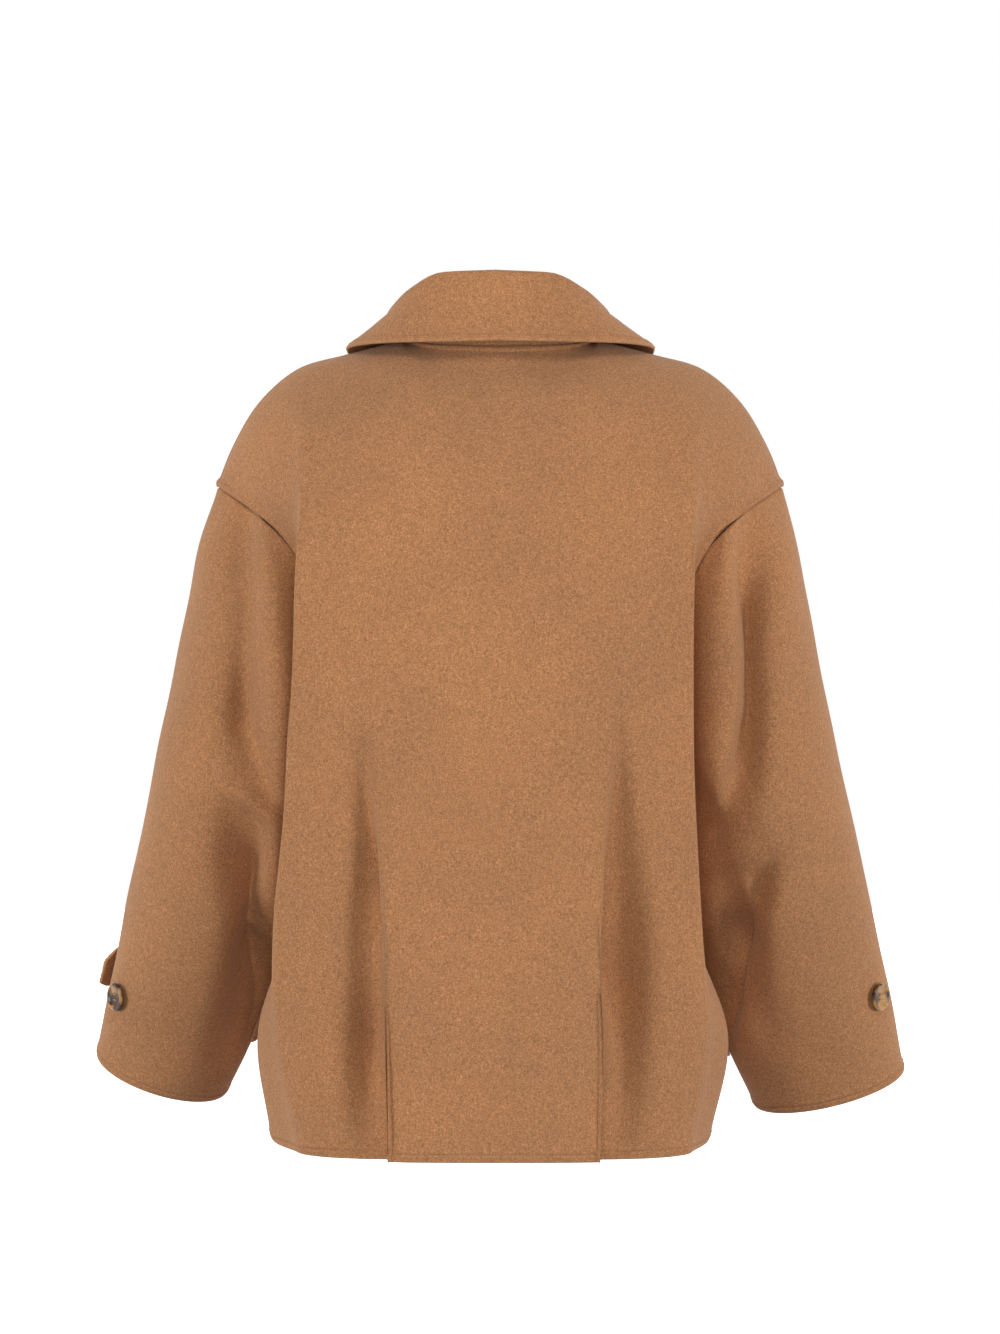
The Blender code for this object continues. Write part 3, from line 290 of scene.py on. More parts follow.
# ---------------------------------------------------------------- sewing
STITCH_INSET = 0.0064  # from a free edge to its row of stitches
STRAP_INSET = 0.0056  # the same on a strap
BAND_INSET = 0.0044  # from a seam to the stitches on the band beside it
STITCH_SPACING = 0.0034
STITCH_LENGTH = 0.0029
STITCH_WIDTH = 0.0007
STITCH_HEIGHT = 0.0006
STITCH_TILT = 0.08  # how far a stitch may lie askew, in radians
STITCH_SIZES = (0.86, 1.1)  # the smallest and the largest, as shares of these sizes
GROOVE_DEPTH = 0.0019  # of the line that a row of stitches presses into the cloth
GROOVE_WIDTH = 0.0016
PUFF_HEIGHT = 0.0015  # of the full cloth on both sides of that line
PUFF_WIDTH = 0.0040
SEAM_DEPTH = 0.0014  # how far the cloth turns down into a seam
SEAM_WIDTH = 0.0026
SEAM_CALM = 0.012  # up to here from a seam the cloth isn't yet as uneven as elsewhere
BAND_HEIGHT = 0.0017  # of the seam allowance that lies under the cloth
BAND_WIDTH = 0.0064
BAND_SOFT = 0.0012  # half of the way over which the band ends
LEAF_STITCHED = 0.05  # how far up from its free edge the collar's ends are stitched

BUTTONHOLE_LENGTH = 0.030
BUTTONHOLE_PAST = 0.005  # how far it reaches past the button's middle
BUTTONHOLE_HALF = 0.0011  # from its middle line to its stitches
BUTTONHOLE_DEPTH = 0.0026
BUTTONHOLE_SPACING = 0.00072
BUTTONHOLE_TILT = 0.03
HOLE_SINK = 0.0001  # of a buttonhole's stitches into the cloth

# A button's outline from its underside round its rim to its hollow face: shares of its radius
# and of its thickness.
BUTTON_OUTLINE = (
    (0.0, 0.0), (0.30, 0.0), (0.70, 0.02), (0.88, 0.12), (0.97, 0.30),
    (1.0, 0.50), (0.985, 0.75), (0.94, 0.93), (0.88, 1.0), (0.81, 0.97),
    (0.75, 0.86), (0.69, 0.73), (0.58, 0.66), (0.30, 0.63), (0.0, 0.62),
)
BUTTON_FACE = 0.63  # the hollow face at the holes, as a share of the thickness
BUTTON_HOLE = 0.0010  # radius of each of the four holes
HOLE_REACH = 0.19  # from the button's middle to the row of holes, as a share of its radius
HOLE_DIAGONAL = 1.42  # from the middle to a hole's own middle, as a multiple of that reach
DRILL_PAST = 0.002  # how far a drill stands out of the button on both sides
BUTTON_CREASE = 42  # edges above so many degrees stay sharp
THREAD_RADIUS = 0.00028
STRAND_GAP = 1.5  # between the strands of a thread, in thread radii
STRAND_SPREAD = 0.06  # how much longer or shorter the outer strands are
STRAND_ARCH = 0.00075
STRAND_DIP = 0.0009  # of a strand's ends into the holes
STRAND_END = 0.97  # from this cosine on
SHANK_STEPS = 24
SHANK_SINK = 0.0004  # of the shank into the cloth
SHANK_INTO = 0.0002  # of the shank into the button
SHANK_WRAPS = (0.92, 0.08)  # middle and swing of its radius, where the thread is wound round it
SEAT_REACH = 0.03  # from how far out the cloth under a button is looked for

# ---------------------------------------------------------------- colours
WOOL_COLOUR = (0.395, 0.186, 0.082)
WOOL_WARM = (0.425, 0.196, 0.084)
WOOL_WORN = (0.52, 0.29, 0.15)
WOOL_SHEEN = (1.0, 0.80, 0.62, 1.0)
THREAD_DARK = (0.30, 0.135, 0.058)
THREAD_LIGHT = (0.42, 0.205, 0.095)
HORN_BLACK = (0.012, 0.006, 0.003)
HORN_BROWN = (0.085, 0.032, 0.010)
HORN_AMBER = (0.42, 0.19, 0.045)
HORN_CREAM = (0.55, 0.30, 0.11)
WHITE = (1.0, 1.0, 1.0, 1.0)
FLOOR_GREY = (0.90, 0.90, 0.90, 1.0)
GRAIN_TURN = (0.0, 0.35, 0.6)  # turns a stretched pattern off the coat's own axes, in radians

# ---------------------------------------------------------------- studio
CAMERA_DISTANCE = 2.7
CAMERA_HEIGHT = -0.278
SENSOR_HEIGHT = 24.0  # of the camera, in millimetres
PHOTO_PIXELS = 1334  # the photograph's height
PIXEL = 0.000887  # the size of one of them, at the coat's middle
VIEW_HEIGHT = PHOTO_PIXELS * PIXEL
COAT_MIDDLE = (0.0, 0.0, -0.32)
FLOOR_HEIGHT = -1.05
FLOOR_HALF = 7.0
FLOOR_GLOW = 0.9
STUDIO_BRIGHT = 1.10  # behind the coat, and so in front of the camera
STUDIO_DIM = 0.06  # behind the camera
STUDIO_TURNS = (-0.45, 0.25)  # the change lies between these directions along y
LAMPS = (
    # name, place, diameter, power
    ("key", (0.1, 2.5, 1.50), 1.2, 29.0),
    ("low", (0.0, 2.7, -0.90), 1.6, 18.0),
    ("side_left", (2.9, 1.7, -0.15), 1.3, 57.0),
    ("side_right", (-2.9, 1.7, -0.15), 1.3, 60.0),
)

# ---------------------------------------------------------------- creases
# A crease runs along a line of (x, z) places. It is a ridge where its height is above 0 and a
# trough below. lean makes one of its sides wider and the other one steeper: on a line drawn
# downwards, the side towards +x is the wider one where lean is above 0.
Crease = namedtuple("Crease", "line width height lean")
BACK_CREASES = (
    Crease(
        ((0.117, -0.330), (0.111, -0.440), (0.108, -0.550), (0.106, -0.640), (0.105, -0.690)),
        0.016, -0.0235, 0.3,
    ),
    Crease(
        ((-0.101, -0.300), (-0.097, -0.420), (-0.097, -0.550), (-0.098, -0.640), (-0.098, -0.690)),
        0.0155, -0.0240, -0.56,
    ),
    Crease(((-0.170, -0.510), (-0.176, -0.600)), 0.006, -0.0014, 0.2),
    Crease(((0.060, -0.180), (0.092, -0.300), (0.090, -0.440)), 0.036, 0.0026, 0.0),
    Crease(((-0.060, -0.180), (-0.084, -0.300), (-0.076, -0.440)), 0.036, 0.0024, 0.0),
    Crease(((0.120, -0.060), (0.150, -0.110), (0.166, -0.170)), 0.020, -0.0022, 0.3),
    Crease(((-0.116, -0.064), (-0.148, -0.112), (-0.162, -0.172)), 0.020, -0.0022, -0.3),
)
SLEEVE_CREASES = {
    LEFT: (
        Crease(((0.204, -0.105), (0.197, -0.220), (0.192, -0.310), (0.186, -0.400)), 0.018, 0.0180, -0.4),
        Crease(((0.224, -0.110), (0.219, -0.200), (0.216, -0.260)), 0.015, -0.0065, 0.4),
        Crease(((0.246, -0.374), (0.214, -0.396), (0.184, -0.424)), 0.010, 0.0080, -0.2),
        Crease(
            ((0.218, -0.210), (0.221, -0.264), (0.219, -0.330), (0.204, -0.374), (0.184, -0.404)),
            0.013, -0.0130, 0.4,
        ),
        Crease(
            ((0.222, -0.385), (0.214, -0.437), (0.207, -0.500), (0.206, -0.559), (0.216, -0.630)),
            0.027, -0.0290, 0.30,
        ),
    ),
    RIGHT: (
        Crease(
            ((-0.204, -0.110), (-0.190, -0.225), (-0.182, -0.310), (-0.172, -0.390)),
            0.021, 0.0150, 0.0,
        ),
        Crease(
            (
                (-0.206, -0.140), (-0.213, -0.240), (-0.214, -0.310),
                (-0.205, -0.370), (-0.188, -0.412), (-0.168, -0.444),
            ),
            0.018, -0.0275, -0.4,
        ),
        Crease(
            ((-0.240, -0.425), (-0.228, -0.470), (-0.214, -0.520), (-0.204, -0.590)),
            0.024, -0.0110, 0.45,
        ),
        Crease(
            ((-0.216, -0.445), (-0.207, -0.500), (-0.200, -0.560), (-0.192, -0.640)),
            0.024, -0.0210, 0.15,
        ),
    ),
}
SLEEVE_FRONT_CREASES = {
    LEFT: (
        Crease(((0.195, -0.310), (0.232, -0.352), (0.272, -0.362)), 0.012, -0.0065, 0.3),
        Crease(((0.200, -0.345), (0.236, -0.382), (0.276, -0.396)), 0.011, 0.0035, 0.0),
        Crease(((0.198, -0.385), (0.238, -0.424), (0.282, -0.436)), 0.013, -0.0075, 0.3),
        Crease(((0.206, -0.440), (0.238, -0.476), (0.270, -0.492)), 0.012, -0.0042, 0.2),
        Crease(((0.178, -0.200), (0.205, -0.270), (0.212, -0.350)), 0.014, -0.0065, 0.2),
        Crease(((0.262, -0.190), (0.276, -0.260), (0.284, -0.340)), 0.016, -0.0032, -0.2),
    ),
    RIGHT: (
        Crease(((-0.190, -0.300), (-0.230, -0.344), (-0.270, -0.352)), 0.012, -0.0068, 0.3),
        Crease(((-0.196, -0.350), (-0.234, -0.386), (-0.276, -0.394)), 0.011, 0.0034, 0.0),
        Crease(((-0.192, -0.395), (-0.230, -0.430), (-0.280, -0.446)), 0.013, -0.0070, 0.3),
        Crease(((-0.196, -0.450), (-0.226, -0.486), (-0.262, -0.500)), 0.012, -0.0045, 0.2),
        Crease(((-0.178, -0.210), (-0.198, -0.280), (-0.205, -0.360)), 0.014, -0.0060, 0.2),
        Crease(((-0.258, -0.180), (-0.272, -0.250), (-0.282, -0.330)), 0.016, -0.0034, 0.2),
    ),
}
FRONT_CREASES = {
    LEFT: (
        Crease(((0.150, -0.170), (0.128, -0.270), (0.112, -0.400)), 0.018, -0.0055, 0.2),
        Crease(((0.150, -0.340), (0.118, -0.362), (0.072, -0.350)), 0.012, -0.0045, 0.2),
        Crease(((0.150, -0.400), (0.112, -0.432), (0.086, -0.428)), 0.012, -0.0034, 0.2),
        Crease(((0.132, -0.430), (0.124, -0.560), (0.130, -0.680)), 0.022, 0.0050, 0.0),
        Crease(((0.106, -0.470), (0.100, -0.580), (0.104, -0.680)), 0.016, -0.0045, 0.2),
    ),
    RIGHT: (
        Crease(((-0.150, -0.180), (-0.126, -0.280), (-0.116, -0.410)), 0.018, -0.0055, 0.2),
        Crease(((-0.148, -0.345), (-0.116, -0.370), (-0.084, -0.362)), 0.012, -0.0048, 0.2),
        Crease(((-0.148, -0.410), (-0.118, -0.440), (-0.090, -0.436)), 0.012, -0.0034, 0.2),
        Crease(((-0.128, -0.440), (-0.120, -0.570), (-0.126, -0.680)), 0.022, 0.0048, 0.0),
        Crease(((-0.102, -0.480), (-0.096, -0.590), (-0.100, -0.680)), 0.016, -0.0042, 0.2),
    ),
}

# ---------------------------------------------------------------- fineness of the grids
# How far from an edge its rows of points lie: close together for its rounding and stitch groove.
EDGE_STEPS = (
    0.0, 0.0003, 0.0008, 0.0015, 0.0026, 0.0038, 0.0048, 0.0056, 0.0064, 0.0072, 0.0082, 0.0096, 0.0118,
)


def marks(start, end, step, start_length=None, end_length=None):
    """Row or column numbers from start to end.

    They lie close together at an edge whose cell length is given: the way between its first
    two sections, in metres.
    """
    low = start if start_length is None else start + EDGE_STEPS[-1] / start_length
    high = end if end_length is None else end - EDGE_STEPS[-1] / end_length
    count = max(int(round((high - low) / step)), 1)
    numbers = list(np.linspace(low, high, count + 1))
    if start_length is not None:
        numbers = [start + gap / start_length for gap in EDGE_STEPS[:-1]] + numbers
    if end_length is not None:
        numbers += [end - gap / end_length for gap in EDGE_STEPS[-2::-1]]
    return np.array(numbers)


# Rows and columns are numbered by the sections that they are drawn through: a body panel from
# its hem (0) to its shoulder seam, a sleeve from its armhole (0) to its cuff (8), and the collar
# from the neck seam (0) over the top of its stand (2) to its free edge (9).
SKIRT_ROWS = marks(0, UNDERARM, 1 / 16, start_length=0.091)
CHEST_ROWS = marks(UNDERARM, GORGE_ROW, 1 / 8)
NECK_ROWS = marks(GORGE_ROW, SHOULDER_ROW, 1 / 10, start_length=0.075, end_length=0.056)
BODY_ROWS = np.concatenate([SKIRT_ROWS, CHEST_ROWS[1:], NECK_ROWS[1:]])
ARM_ROW = len(SKIRT_ROWS) - 1
GORGE_MARK = len(SKIRT_ROWS) + len(CHEST_ROWS) - 2
NECK_COLUMNS = np.linspace(0, NECK_STEPS, 21)
OUTER_COLUMNS = marks(0, len(NECK_TO_EDGE), 1 / 5, start_length=0.0245, end_length=0.032)
SLEEVE_ROWS = marks(0, 8, 1 / 10, start_length=0.045, end_length=0.046)
COLLAR_ROWS = np.concatenate([
    np.linspace(0, 2, 12), np.linspace(2, COLLAR_LEAF_ROW, 17)[1:],
    marks(COLLAR_LEAF_ROW, 9, 1 / 9, end_length=0.022)[1:],
])


# ---------------------------------------------------------------- curves and surfaces
def cubic(part, first, leaving, last, arriving):
    """A curve from first to last, which leaves and arrives with these slopes."""
    return (
        first * (1 + 2 * part) * (1 - part) ** 2
        + leaving * part * (1 - part) ** 2
        + last * part**2 * (3 - 2 * part)
        + arriving * part**2 * (part - 1)
    )


def smooth_line(points, at, start=None, end=None, corners=()):
    """A smooth curve through points, read at places counted in points (0 is the first one).

    corners holds (place, sharpness) pairs: with sharpness 1 the curve turns there at once.
    """
    points = np.asarray(points, float)
    steps = np.diff(points, axis=0)
    lengths = np.maximum(np.linalg.norm(steps, axis=1), 1e-7)[:, None]
    secants = steps / lengths
    slopes = np.empty_like(points)
    slopes[0] = secants[0] if start is None else start
    slopes[-1] = secants[-1] if end is None else end
    before, after = lengths[:-1], lengths[1:]
    slopes[1:-1] = (secants[:-1] * after + secants[1:] * before) / (before + after)
    leaving, arriving = slopes.copy(), slopes.copy()
    for place, sharpness in corners:
        leaving[place] += (secants[place] - slopes[place]) * sharpness
        arriving[place] += (secants[place - 1] - slopes[place]) * sharpness
    at = np.asarray(at, float)
    index = np.clip(at.astype(int), 0, len(points) - 2)
    part, span = (at - index)[:, None], lengths[index]
    return cubic(part, points[index], leaving[index] * span, points[index + 1], arriving[index + 1] * span)


def fade(value, low, high):
    """0 below low, 1 above high, and soft between them."""
    part = np.clip((np.asarray(value, float) - low) / (high - low), 0, 1)
    return part * part * (3 - 2 * part)


def bump(distance, width):
    """A soft hump, 1 at distance 0 and nearly 0 beyond width."""
    return np.exp(-((distance / width) ** 2) * 2)


def eased(keys, values, at):
    """A smooth curve through (key, value) pairs that never swings past them."""
    keys, values, at = (np.asarray(row, float) for row in (keys, values, at))
    gaps = np.diff(keys)
    secants = np.diff(values) / gaps
    before, after = secants[:-1], secants[1:]
    same_way = before * after > 0
    mean = np.where(same_way, 2 * before * after / np.where(same_way, before + after, 1.0), 0.0)
    slopes = np.concatenate([secants[:1], mean, secants[-1:]])
    at = np.clip(at, keys[0], keys[-1])
    index = np.clip(np.searchsorted(keys, at, side="right") - 1, 0, len(keys) - 2)
    gap = gaps[index]
    part = (at - keys[index]) / gap
    return cubic(part, values[index], slopes[index] * gap, values[index + 1], slopes[index + 1] * gap)


def from_table(table, key, value, column):
    """A column of a table, read smoothly at a value of its key column."""
    return eased([getattr(row, key) for row in table], [getattr(row, column) for row in table], value)


def read_along(at, way, vectors):
    """Vectors (n x 3) of a line, read at some of its distances."""
    return np.stack([np.interp(at, way, vectors[:, axis]) for axis in range(3)], axis=-1)


def unit(vectors):
    length = np.linalg.norm(vectors, axis=-1, keepdims=True)
    return vectors / np.maximum(length, 1e-12)


def grid_normals(points, closed):
    """Normals of a grid of points, from the way its rows and columns run."""
    if closed:
        across = np.roll(points, -1, axis=1) - np.roll(points, 1, axis=1)
    else:
        across = np.gradient(points, axis=1)
    return unit(np.cross(across, np.gradient(points, axis=0)))


class Panel:
    """A grid of points on the outer face of a piece of cloth: rows go up, columns across.

    bulk lifts the whole wall, relief the outer face alone; taper thins the wall from both
    sides, and worn is how much an edge shows.
    """

    def __init__(self, name, points, closed=False, outwards=1):
        self.name = name
        self.points = points
        self.closed = closed
        self.outwards = outwards
        self.normals = grid_normals(points, closed) * outwards
        shape = points.shape[:2]
        self.relief = np.zeros(shape)
        self.bulk = np.zeros(shape)
        self.taper = np.zeros(shape)
        self.worn = np.zeros(shape)

    def from_side(self, side):
        """Distance of every point from one side of the grid, along the cloth."""
        if side in ("bottom", "top"):
            steps = np.linalg.norm(np.diff(self.points, axis=0), axis=2)
            steps = np.concatenate([np.zeros((1, steps.shape[1])), steps])
            way = np.cumsum(steps, axis=0)
            return way if side == "bottom" else way[-1:] - way
        steps = np.linalg.norm(np.diff(self.points, axis=1), axis=2)
        steps = np.concatenate([np.zeros((steps.shape[0], 1)), steps], axis=1)
        way = np.cumsum(steps, axis=1)
        return way if side == "first" else way[:, -1:] - way

    def rim(self):
        """Row and column numbers of the grid's border."""
        rows, columns = self.points.shape[:2]
        border = [(row, column) for row in (0, rows - 1) for column in range(columns)]
        if not self.closed:
            border += [(row, column) for row in range(1, rows - 1) for column in (0, columns - 1)]
        return border


def share_normals(panels):
    """Gives points that two or more panels share one common normal, so that seams meet."""
    groups = {}
    for panel in panels:
        for place in panel.rim():
            spot = tuple(np.round(panel.points[place] * 1e5).astype(int))
            groups.setdefault(spot, []).append((panel, place))
    for members in groups.values():
        owners = {panel.name: panel.normals[place] for panel, place in members}
        normal = unit(sum(owners.values()))
        for panel, place in members:
            panel.normals[place] = normal


# ---------------------------------------------------------------- body sections
def edge_point(number, side, front):
    level = EDGE_LEVELS[number]
    x = level.x_left if side == LEFT else level.x_right
    return np.array([side * x, level.y_front if front else level.y_back, level.z])


def shoulder_points(side, shares):
    """Points along the shoulder seam, at shares of the way from the neck to the shoulder point."""
    line = [(side * point.x, 0.0, point.z) for point in SHOULDER_LINE]
    return smooth_line(line, np.asarray(shares) * (len(line) - 1))


def neck_points(side, shares):
    """Points along the back neck seam, at shares of the way from the centre back."""
    turn = np.asarray(shares) * pi / 2
    x = side * NECK_HALF_WIDTH * np.sin(turn)
    y = NECK_BACK_DEPTH * np.cos(turn)
    z = NECK_SIDE_RISE * (1 - np.cos(turn))
    return np.stack([x, y, z], axis=1)


def pleat_drop(depth, foot, share):
    """How far the cloth lies inside the back's own line, from the pleat fold (0) to the ridge (1)."""
    opens = foot + PLEAT_OPENS - PLEAT_FOOT
    return depth * (fade(share, 0.0, foot) - fade(share, opens, 1.0))


def back_half_section(number, side):
    """One level of half the back, from the centre to the side."""
    level = BACK_LEVELS[number]
    left = side == LEFT
    ridge = level.ridge_left if left else level.ridge_right
    crease = level.crease_left if left else level.crease_right
    hollow_x = level.hollow_left if left else level.hollow_right
    edge = edge_point(number, side, front=False)
    hollow_z = (level.z_ridge + edge[2]) / 2
    points = []
    for share in BACK_SHARES:
        y = level.y_mid + (level.y_ridge - level.y_mid) * share**BACK_SQUARENESS
        z = level.z_mid + (level.z_ridge - level.z_mid) * share**2
        points.append((side * ridge * share, y, z))
    hollow = np.array([side * hollow_x, level.y_hollow, hollow_z])
    points.append(points[-1] + (hollow - points[-1]) * RIDGE_TURN)
    points += [hollow, edge]
    end = (0.0, -1.0, 0.0) if number <= UNDERARM else None
    places = BACK_SHARES + BACK_BEYOND
    crease_share = crease / ridge
    outer = eased(range(len(NECK_TO_EDGE) + 1), (0.0, *NECK_TO_EDGE), OUTER_COLUMNS[1:])
    outer = np.where(outer < 1, crease_share + (1 - crease_share) * outer, outer)
    wanted = np.concatenate([crease_share * NECK_COLUMNS / NECK_STEPS, outer])
    at = np.interp(wanted, places, np.arange(len(places)))
    line = smooth_line(points, at, start=(side, 0.0, 0.0), end=end)
    share = np.maximum((wanted - crease_share) / (1 - crease_share), 0.0)
    foot = np.interp(level.z_mid, PLEAT_LEVELS, PLEAT_FEET)
    line[:, 1] -= pleat_drop(level.pleat, foot, share)
    way = np.abs(line[:, 0]) - crease
    under = way + PLEAT_UNDERCUT * np.minimum(share / PLEAT_FOOT, 1.0)
    depth = PLEAT_FOOT / foot if level.pleat >= DEEP_PLEAT else 0.0
    line[:, 0] -= side * depth * under * (share > 0) * (1 - fade(share, PLEAT_FOOT, UNDERCUT_ENDS))
    return line


def back_half(side):
    """Half of the back as a grid, from the centre to the side and from the hem up."""
    sections = [back_half_section(number, side) for number in range(len(BACK_LEVELS))]
    neck = neck_points(side, NECK_COLUMNS / NECK_STEPS)
    shoulder = shoulder_points(side, OUTER_COLUMNS[1:] / OUTER_COLUMNS[-1])
    sections = np.array([*sections, np.concatenate([neck, shoulder])])
    numbers = np.concatenate([NECK_COLUMNS, NECK_STEPS + OUTER_COLUMNS[1:]])
    grid = []
    for column, number in enumerate(numbers):
        line = sections[:, column]
        over = fade(number, 0.4 * NECK_STEPS, NECK_STEPS + 0.5)
        last = unit(line[-1] - line[-2])
        end = last * (1 - over) + np.array([0.0, -SHOULDER_TURN, 0.0]) * over
        near_edge = fade(number, numbers[-1] - SHARP_COLUMNS, numbers[-1])
        grid.append(smooth_line(line, BODY_ROWS, end=end, corners=[(UNDERARM, near_edge)]))
    return np.array(grid).transpose(1, 0, 2)


def build_back():
    return Panel("back", np.concatenate([back_half(LEFT)[:, :0:-1], back_half(RIGHT)], axis=1))


def front_section(number, side):
    """One level of a front, from its free edge to the side seam or armhole."""
    level = FRONT_LEVELS[number]
    edge = edge_point(number, side, front=True)
    points = []
    for share in FRONT_SHARES:
        x = level.x_start + (level.x_flank - level.x_start) * share
        bend = (abs(x) / level.x_flank) ** FRONT_SQUARENESS
        y = level.y_front + (level.y_flank - level.y_front) * bend
        z = level.z_mid + (level.z_flank - level.z_mid) * share**2
        points.append((side * x, y, z))
    hollow_z = (level.z_flank + edge[2]) / 2
    points.append((edge[0] - side * level.hollow_in, level.y_hollow, hollow_z))
    points.append(edge)
    end = (0.0, 1.0, 0.0) if number <= UNDERARM else None
    wanted = eased(range(len(FRONT_PLACES)), FRONT_PLACES, OUTER_COLUMNS)
    at = np.interp(wanted, FRONT_SHARES + FRONT_BEYOND, np.arange(len(points)))
    line = smooth_line(points, at, end=end)
    if side == LEFT:
        line[:, 1] += LAP_DEPTH * (1 - fade(line[:, 0], *LAP_FADE))
    return line


def build_front(side):
    """One front as a grid, from its free edge to the side and from the hem up."""
    sections = [front_section(number, side) for number in range(len(FRONT_LEVELS))]
    sections.append(shoulder_points(side, OUTER_COLUMNS / OUTER_COLUMNS[-1]))
    sections = np.array(sections)
    last_number = OUTER_COLUMNS[-1]
    grid = []
    for column, number in enumerate(OUTER_COLUMNS):
        line = sections[:, column]
        near_neck = 1 - fade(number, 0, (last_number + 1) / 4)
        last = unit(line[-1] - line[-2])
        end = last * near_neck + np.array([0.0, SHOULDER_TURN, 0.0]) * (1 - near_neck)
        near_edge = fade(number, last_number - SHARP_COLUMNS, last_number)
        corners = [(UNDERARM, near_edge), (BREAK_ROW, near_neck), (GORGE_ROW, near_neck)]
        grid.append(smooth_line(line, BODY_ROWS, end=end, corners=corners))
    name = "front_left" if side == LEFT else "front_right"
    return Panel(name, np.array(grid).transpose(1, 0, 2), outwards=side)


# ---------------------------------------------------------------- sleeves
def fold_height(folds, along, angles):
    """How far the sleeve's large folds lift or sink the cloth round one ring."""
    height = np.zeros(len(angles))
    for fold in folds:
        way = (along - fold.along_start) / (fold.along_end - fold.along_start)
        if not 0 < way < 1:
            continue
        ridge = fold.angle_start + (fold.angle_end - fold.angle_start) * way
        sideways = np.exp(-(((angles - ridge) / fold.spread) ** 2))
        height += fold.height * sin(pi * way) ** FOLD_FULLNESS * sideways
    return height


def build_sleeve(side, back, front):
    """A sleeve as closed rings, from the armhole down to the cuff."""
    back_column = 0 if side == LEFT else -1
    down_back = back.points[ARM_ROW:, back_column][::-1]
    up_front = front.points[ARM_ROW:, -1]
    armhole = np.concatenate([down_back, up_front[1:-1]])
    steps = np.linalg.norm(np.diff(down_back, axis=0), axis=1)
    share = np.concatenate([[0], np.cumsum(steps)]) / steps.sum()
    angles = np.concatenate([180 * share, 360 - 180 * share[1:-1][::-1]])
    turn = np.radians(angles)
    out = (1 + np.cos(turn)) / 2
    rings = [armhole]
    for ring in SLEEVE_RINGS[side]:
        x = ring.x_inner + (ring.x_outer - ring.x_inner) * out
        z = ring.z_inner + (ring.z_outer - ring.z_inner) * out - ring.back_dip * np.sin(turn)
        y = ring.y_mid + ring.half_depth * np.sin(turn)
        rings.append(np.stack([side * x, y, z], axis=1))
    rings = np.array(rings)
    grid = np.array([smooth_line(rings[:, column], SLEEVE_ROWS) for column in range(len(angles))])
    name = "sleeve_left" if side == LEFT else "sleeve_right"
    panel = Panel(name, grid.transpose(1, 0, 2), closed=True, outwards=-side)
    shares = SLEEVE_ROWS / SLEEVE_ROWS[-1]
    lifts = np.array([fold_height(SLEEVE_FOLDS[side], share, angles) for share in shares])
    panel.points = panel.points + panel.normals * lifts[:, :, None]
    panel.normals = grid_normals(panel.points, True) * panel.outwards
    return panel, angles


# ---------------------------------------------------------------- collar and lapels
def collar_profile(station):
    """A collar section as (out, up) pairs: neck seam, stand, roll, leaf and free edge."""
    fold_out, fold_up, edge_out, edge_up = station
    stand_out, stand_top = fold_out - COLLAR_ROLL, fold_up - COLLAR_ROLL
    outline = [(0.0, 0.0), (0.45 * stand_out, 0.5 * stand_top), (stand_out, stand_top)]
    for turn in (45, 90, 135):
        out = fold_out - COLLAR_ROLL * cos(radians(turn))
        outline.append((out, stand_top + COLLAR_ROLL * sin(radians(turn))))
    leaf_out = fold_out + COLLAR_ROLL
    for share in (0.0, 0.3, 0.65, 1.0):
        sag = LEAF_SAG * share * (1 - share) * (edge_out - leaf_out)
        out = leaf_out + (edge_out - leaf_out) * share - sag
        outline.append((out, stand_top + (edge_up - stand_top) * share + sag))
    return np.array(outline)


def push_out(points, panels, clear):
    """Moves points that lie under or too near a panel out along its normal."""
    corners, faces = [], []
    for panel in panels:
        rows, columns = panel.points.shape[:2]
        quads = grid_faces(rows, columns, panel.closed, panel.outwards < 0) + len(corners)
        faces += quads.tolist()
        corners += panel.points.reshape(-1, 3).tolist()
    tree = BVHTree.FromPolygons(corners, faces)
    moved = points.reshape(-1, 3).copy()
    for number, point in enumerate(moved):
        nearest, normal, _, _ = tree.find_nearest(Vector(point))
        nearest, normal = np.array(nearest), np.array(normal)
        height = np.dot(point - nearest, normal)
        beside = np.linalg.norm(point - nearest - normal * height)
        if height < clear and beside < clear:
            moved[number] = point + normal * (clear - height)
    return moved.reshape(points.shape)


def build_collar(back, fronts):
    """The collar as a grid: rows from the neck seam to the free edge, columns round the neck."""
    half = {}
    middle = back.points.shape[1] // 2
    for side in (LEFT, RIGHT):
        neck = [back.points[-1, middle - side * step] for step in range(len(NECK_COLUMNS))]
        neck = np.array([*neck, *fronts[side].points[GORGE_MARK:-1, 0][::-1]])
        steps = np.linalg.norm(np.diff(neck, axis=0), axis=1)
        along = np.concatenate([[0], np.cumsum(steps)]) / steps.sum()
        *sizes, facing = (
            from_table(COLLAR_STATIONS, "along", along, column) for column in CollarStation._fields[1:]
        )
        lean = np.array([COLLAR_LEAN / COLLAR_STATIONS[0].fold_up, 0.0, 1.0])
        columns = []
        for base, station, turn in zip(neck, np.stack(sizes, axis=1), np.radians(facing)):
            out = np.array([side * cos(turn), sin(turn), 0.0])
            profile = smooth_line(collar_profile(station), COLLAR_ROWS)
            columns.append(base + out * profile[:, :1] + lean * profile[:, 1:])
        half[side] = np.array(columns)
    grid = np.concatenate([half[LEFT][:0:-1], half[RIGHT]])
    panel = Panel("collar", grid.transpose(1, 0, 2))
    leaf = int(np.searchsorted(COLLAR_ROWS, COLLAR_LEAF_ROW))
    panel.points[leaf:] = push_out(panel.points[leaf:], [back, *fronts.values()], COLLAR_CLEAR)
    panel.normals = grid_normals(panel.points, False)
    return panel


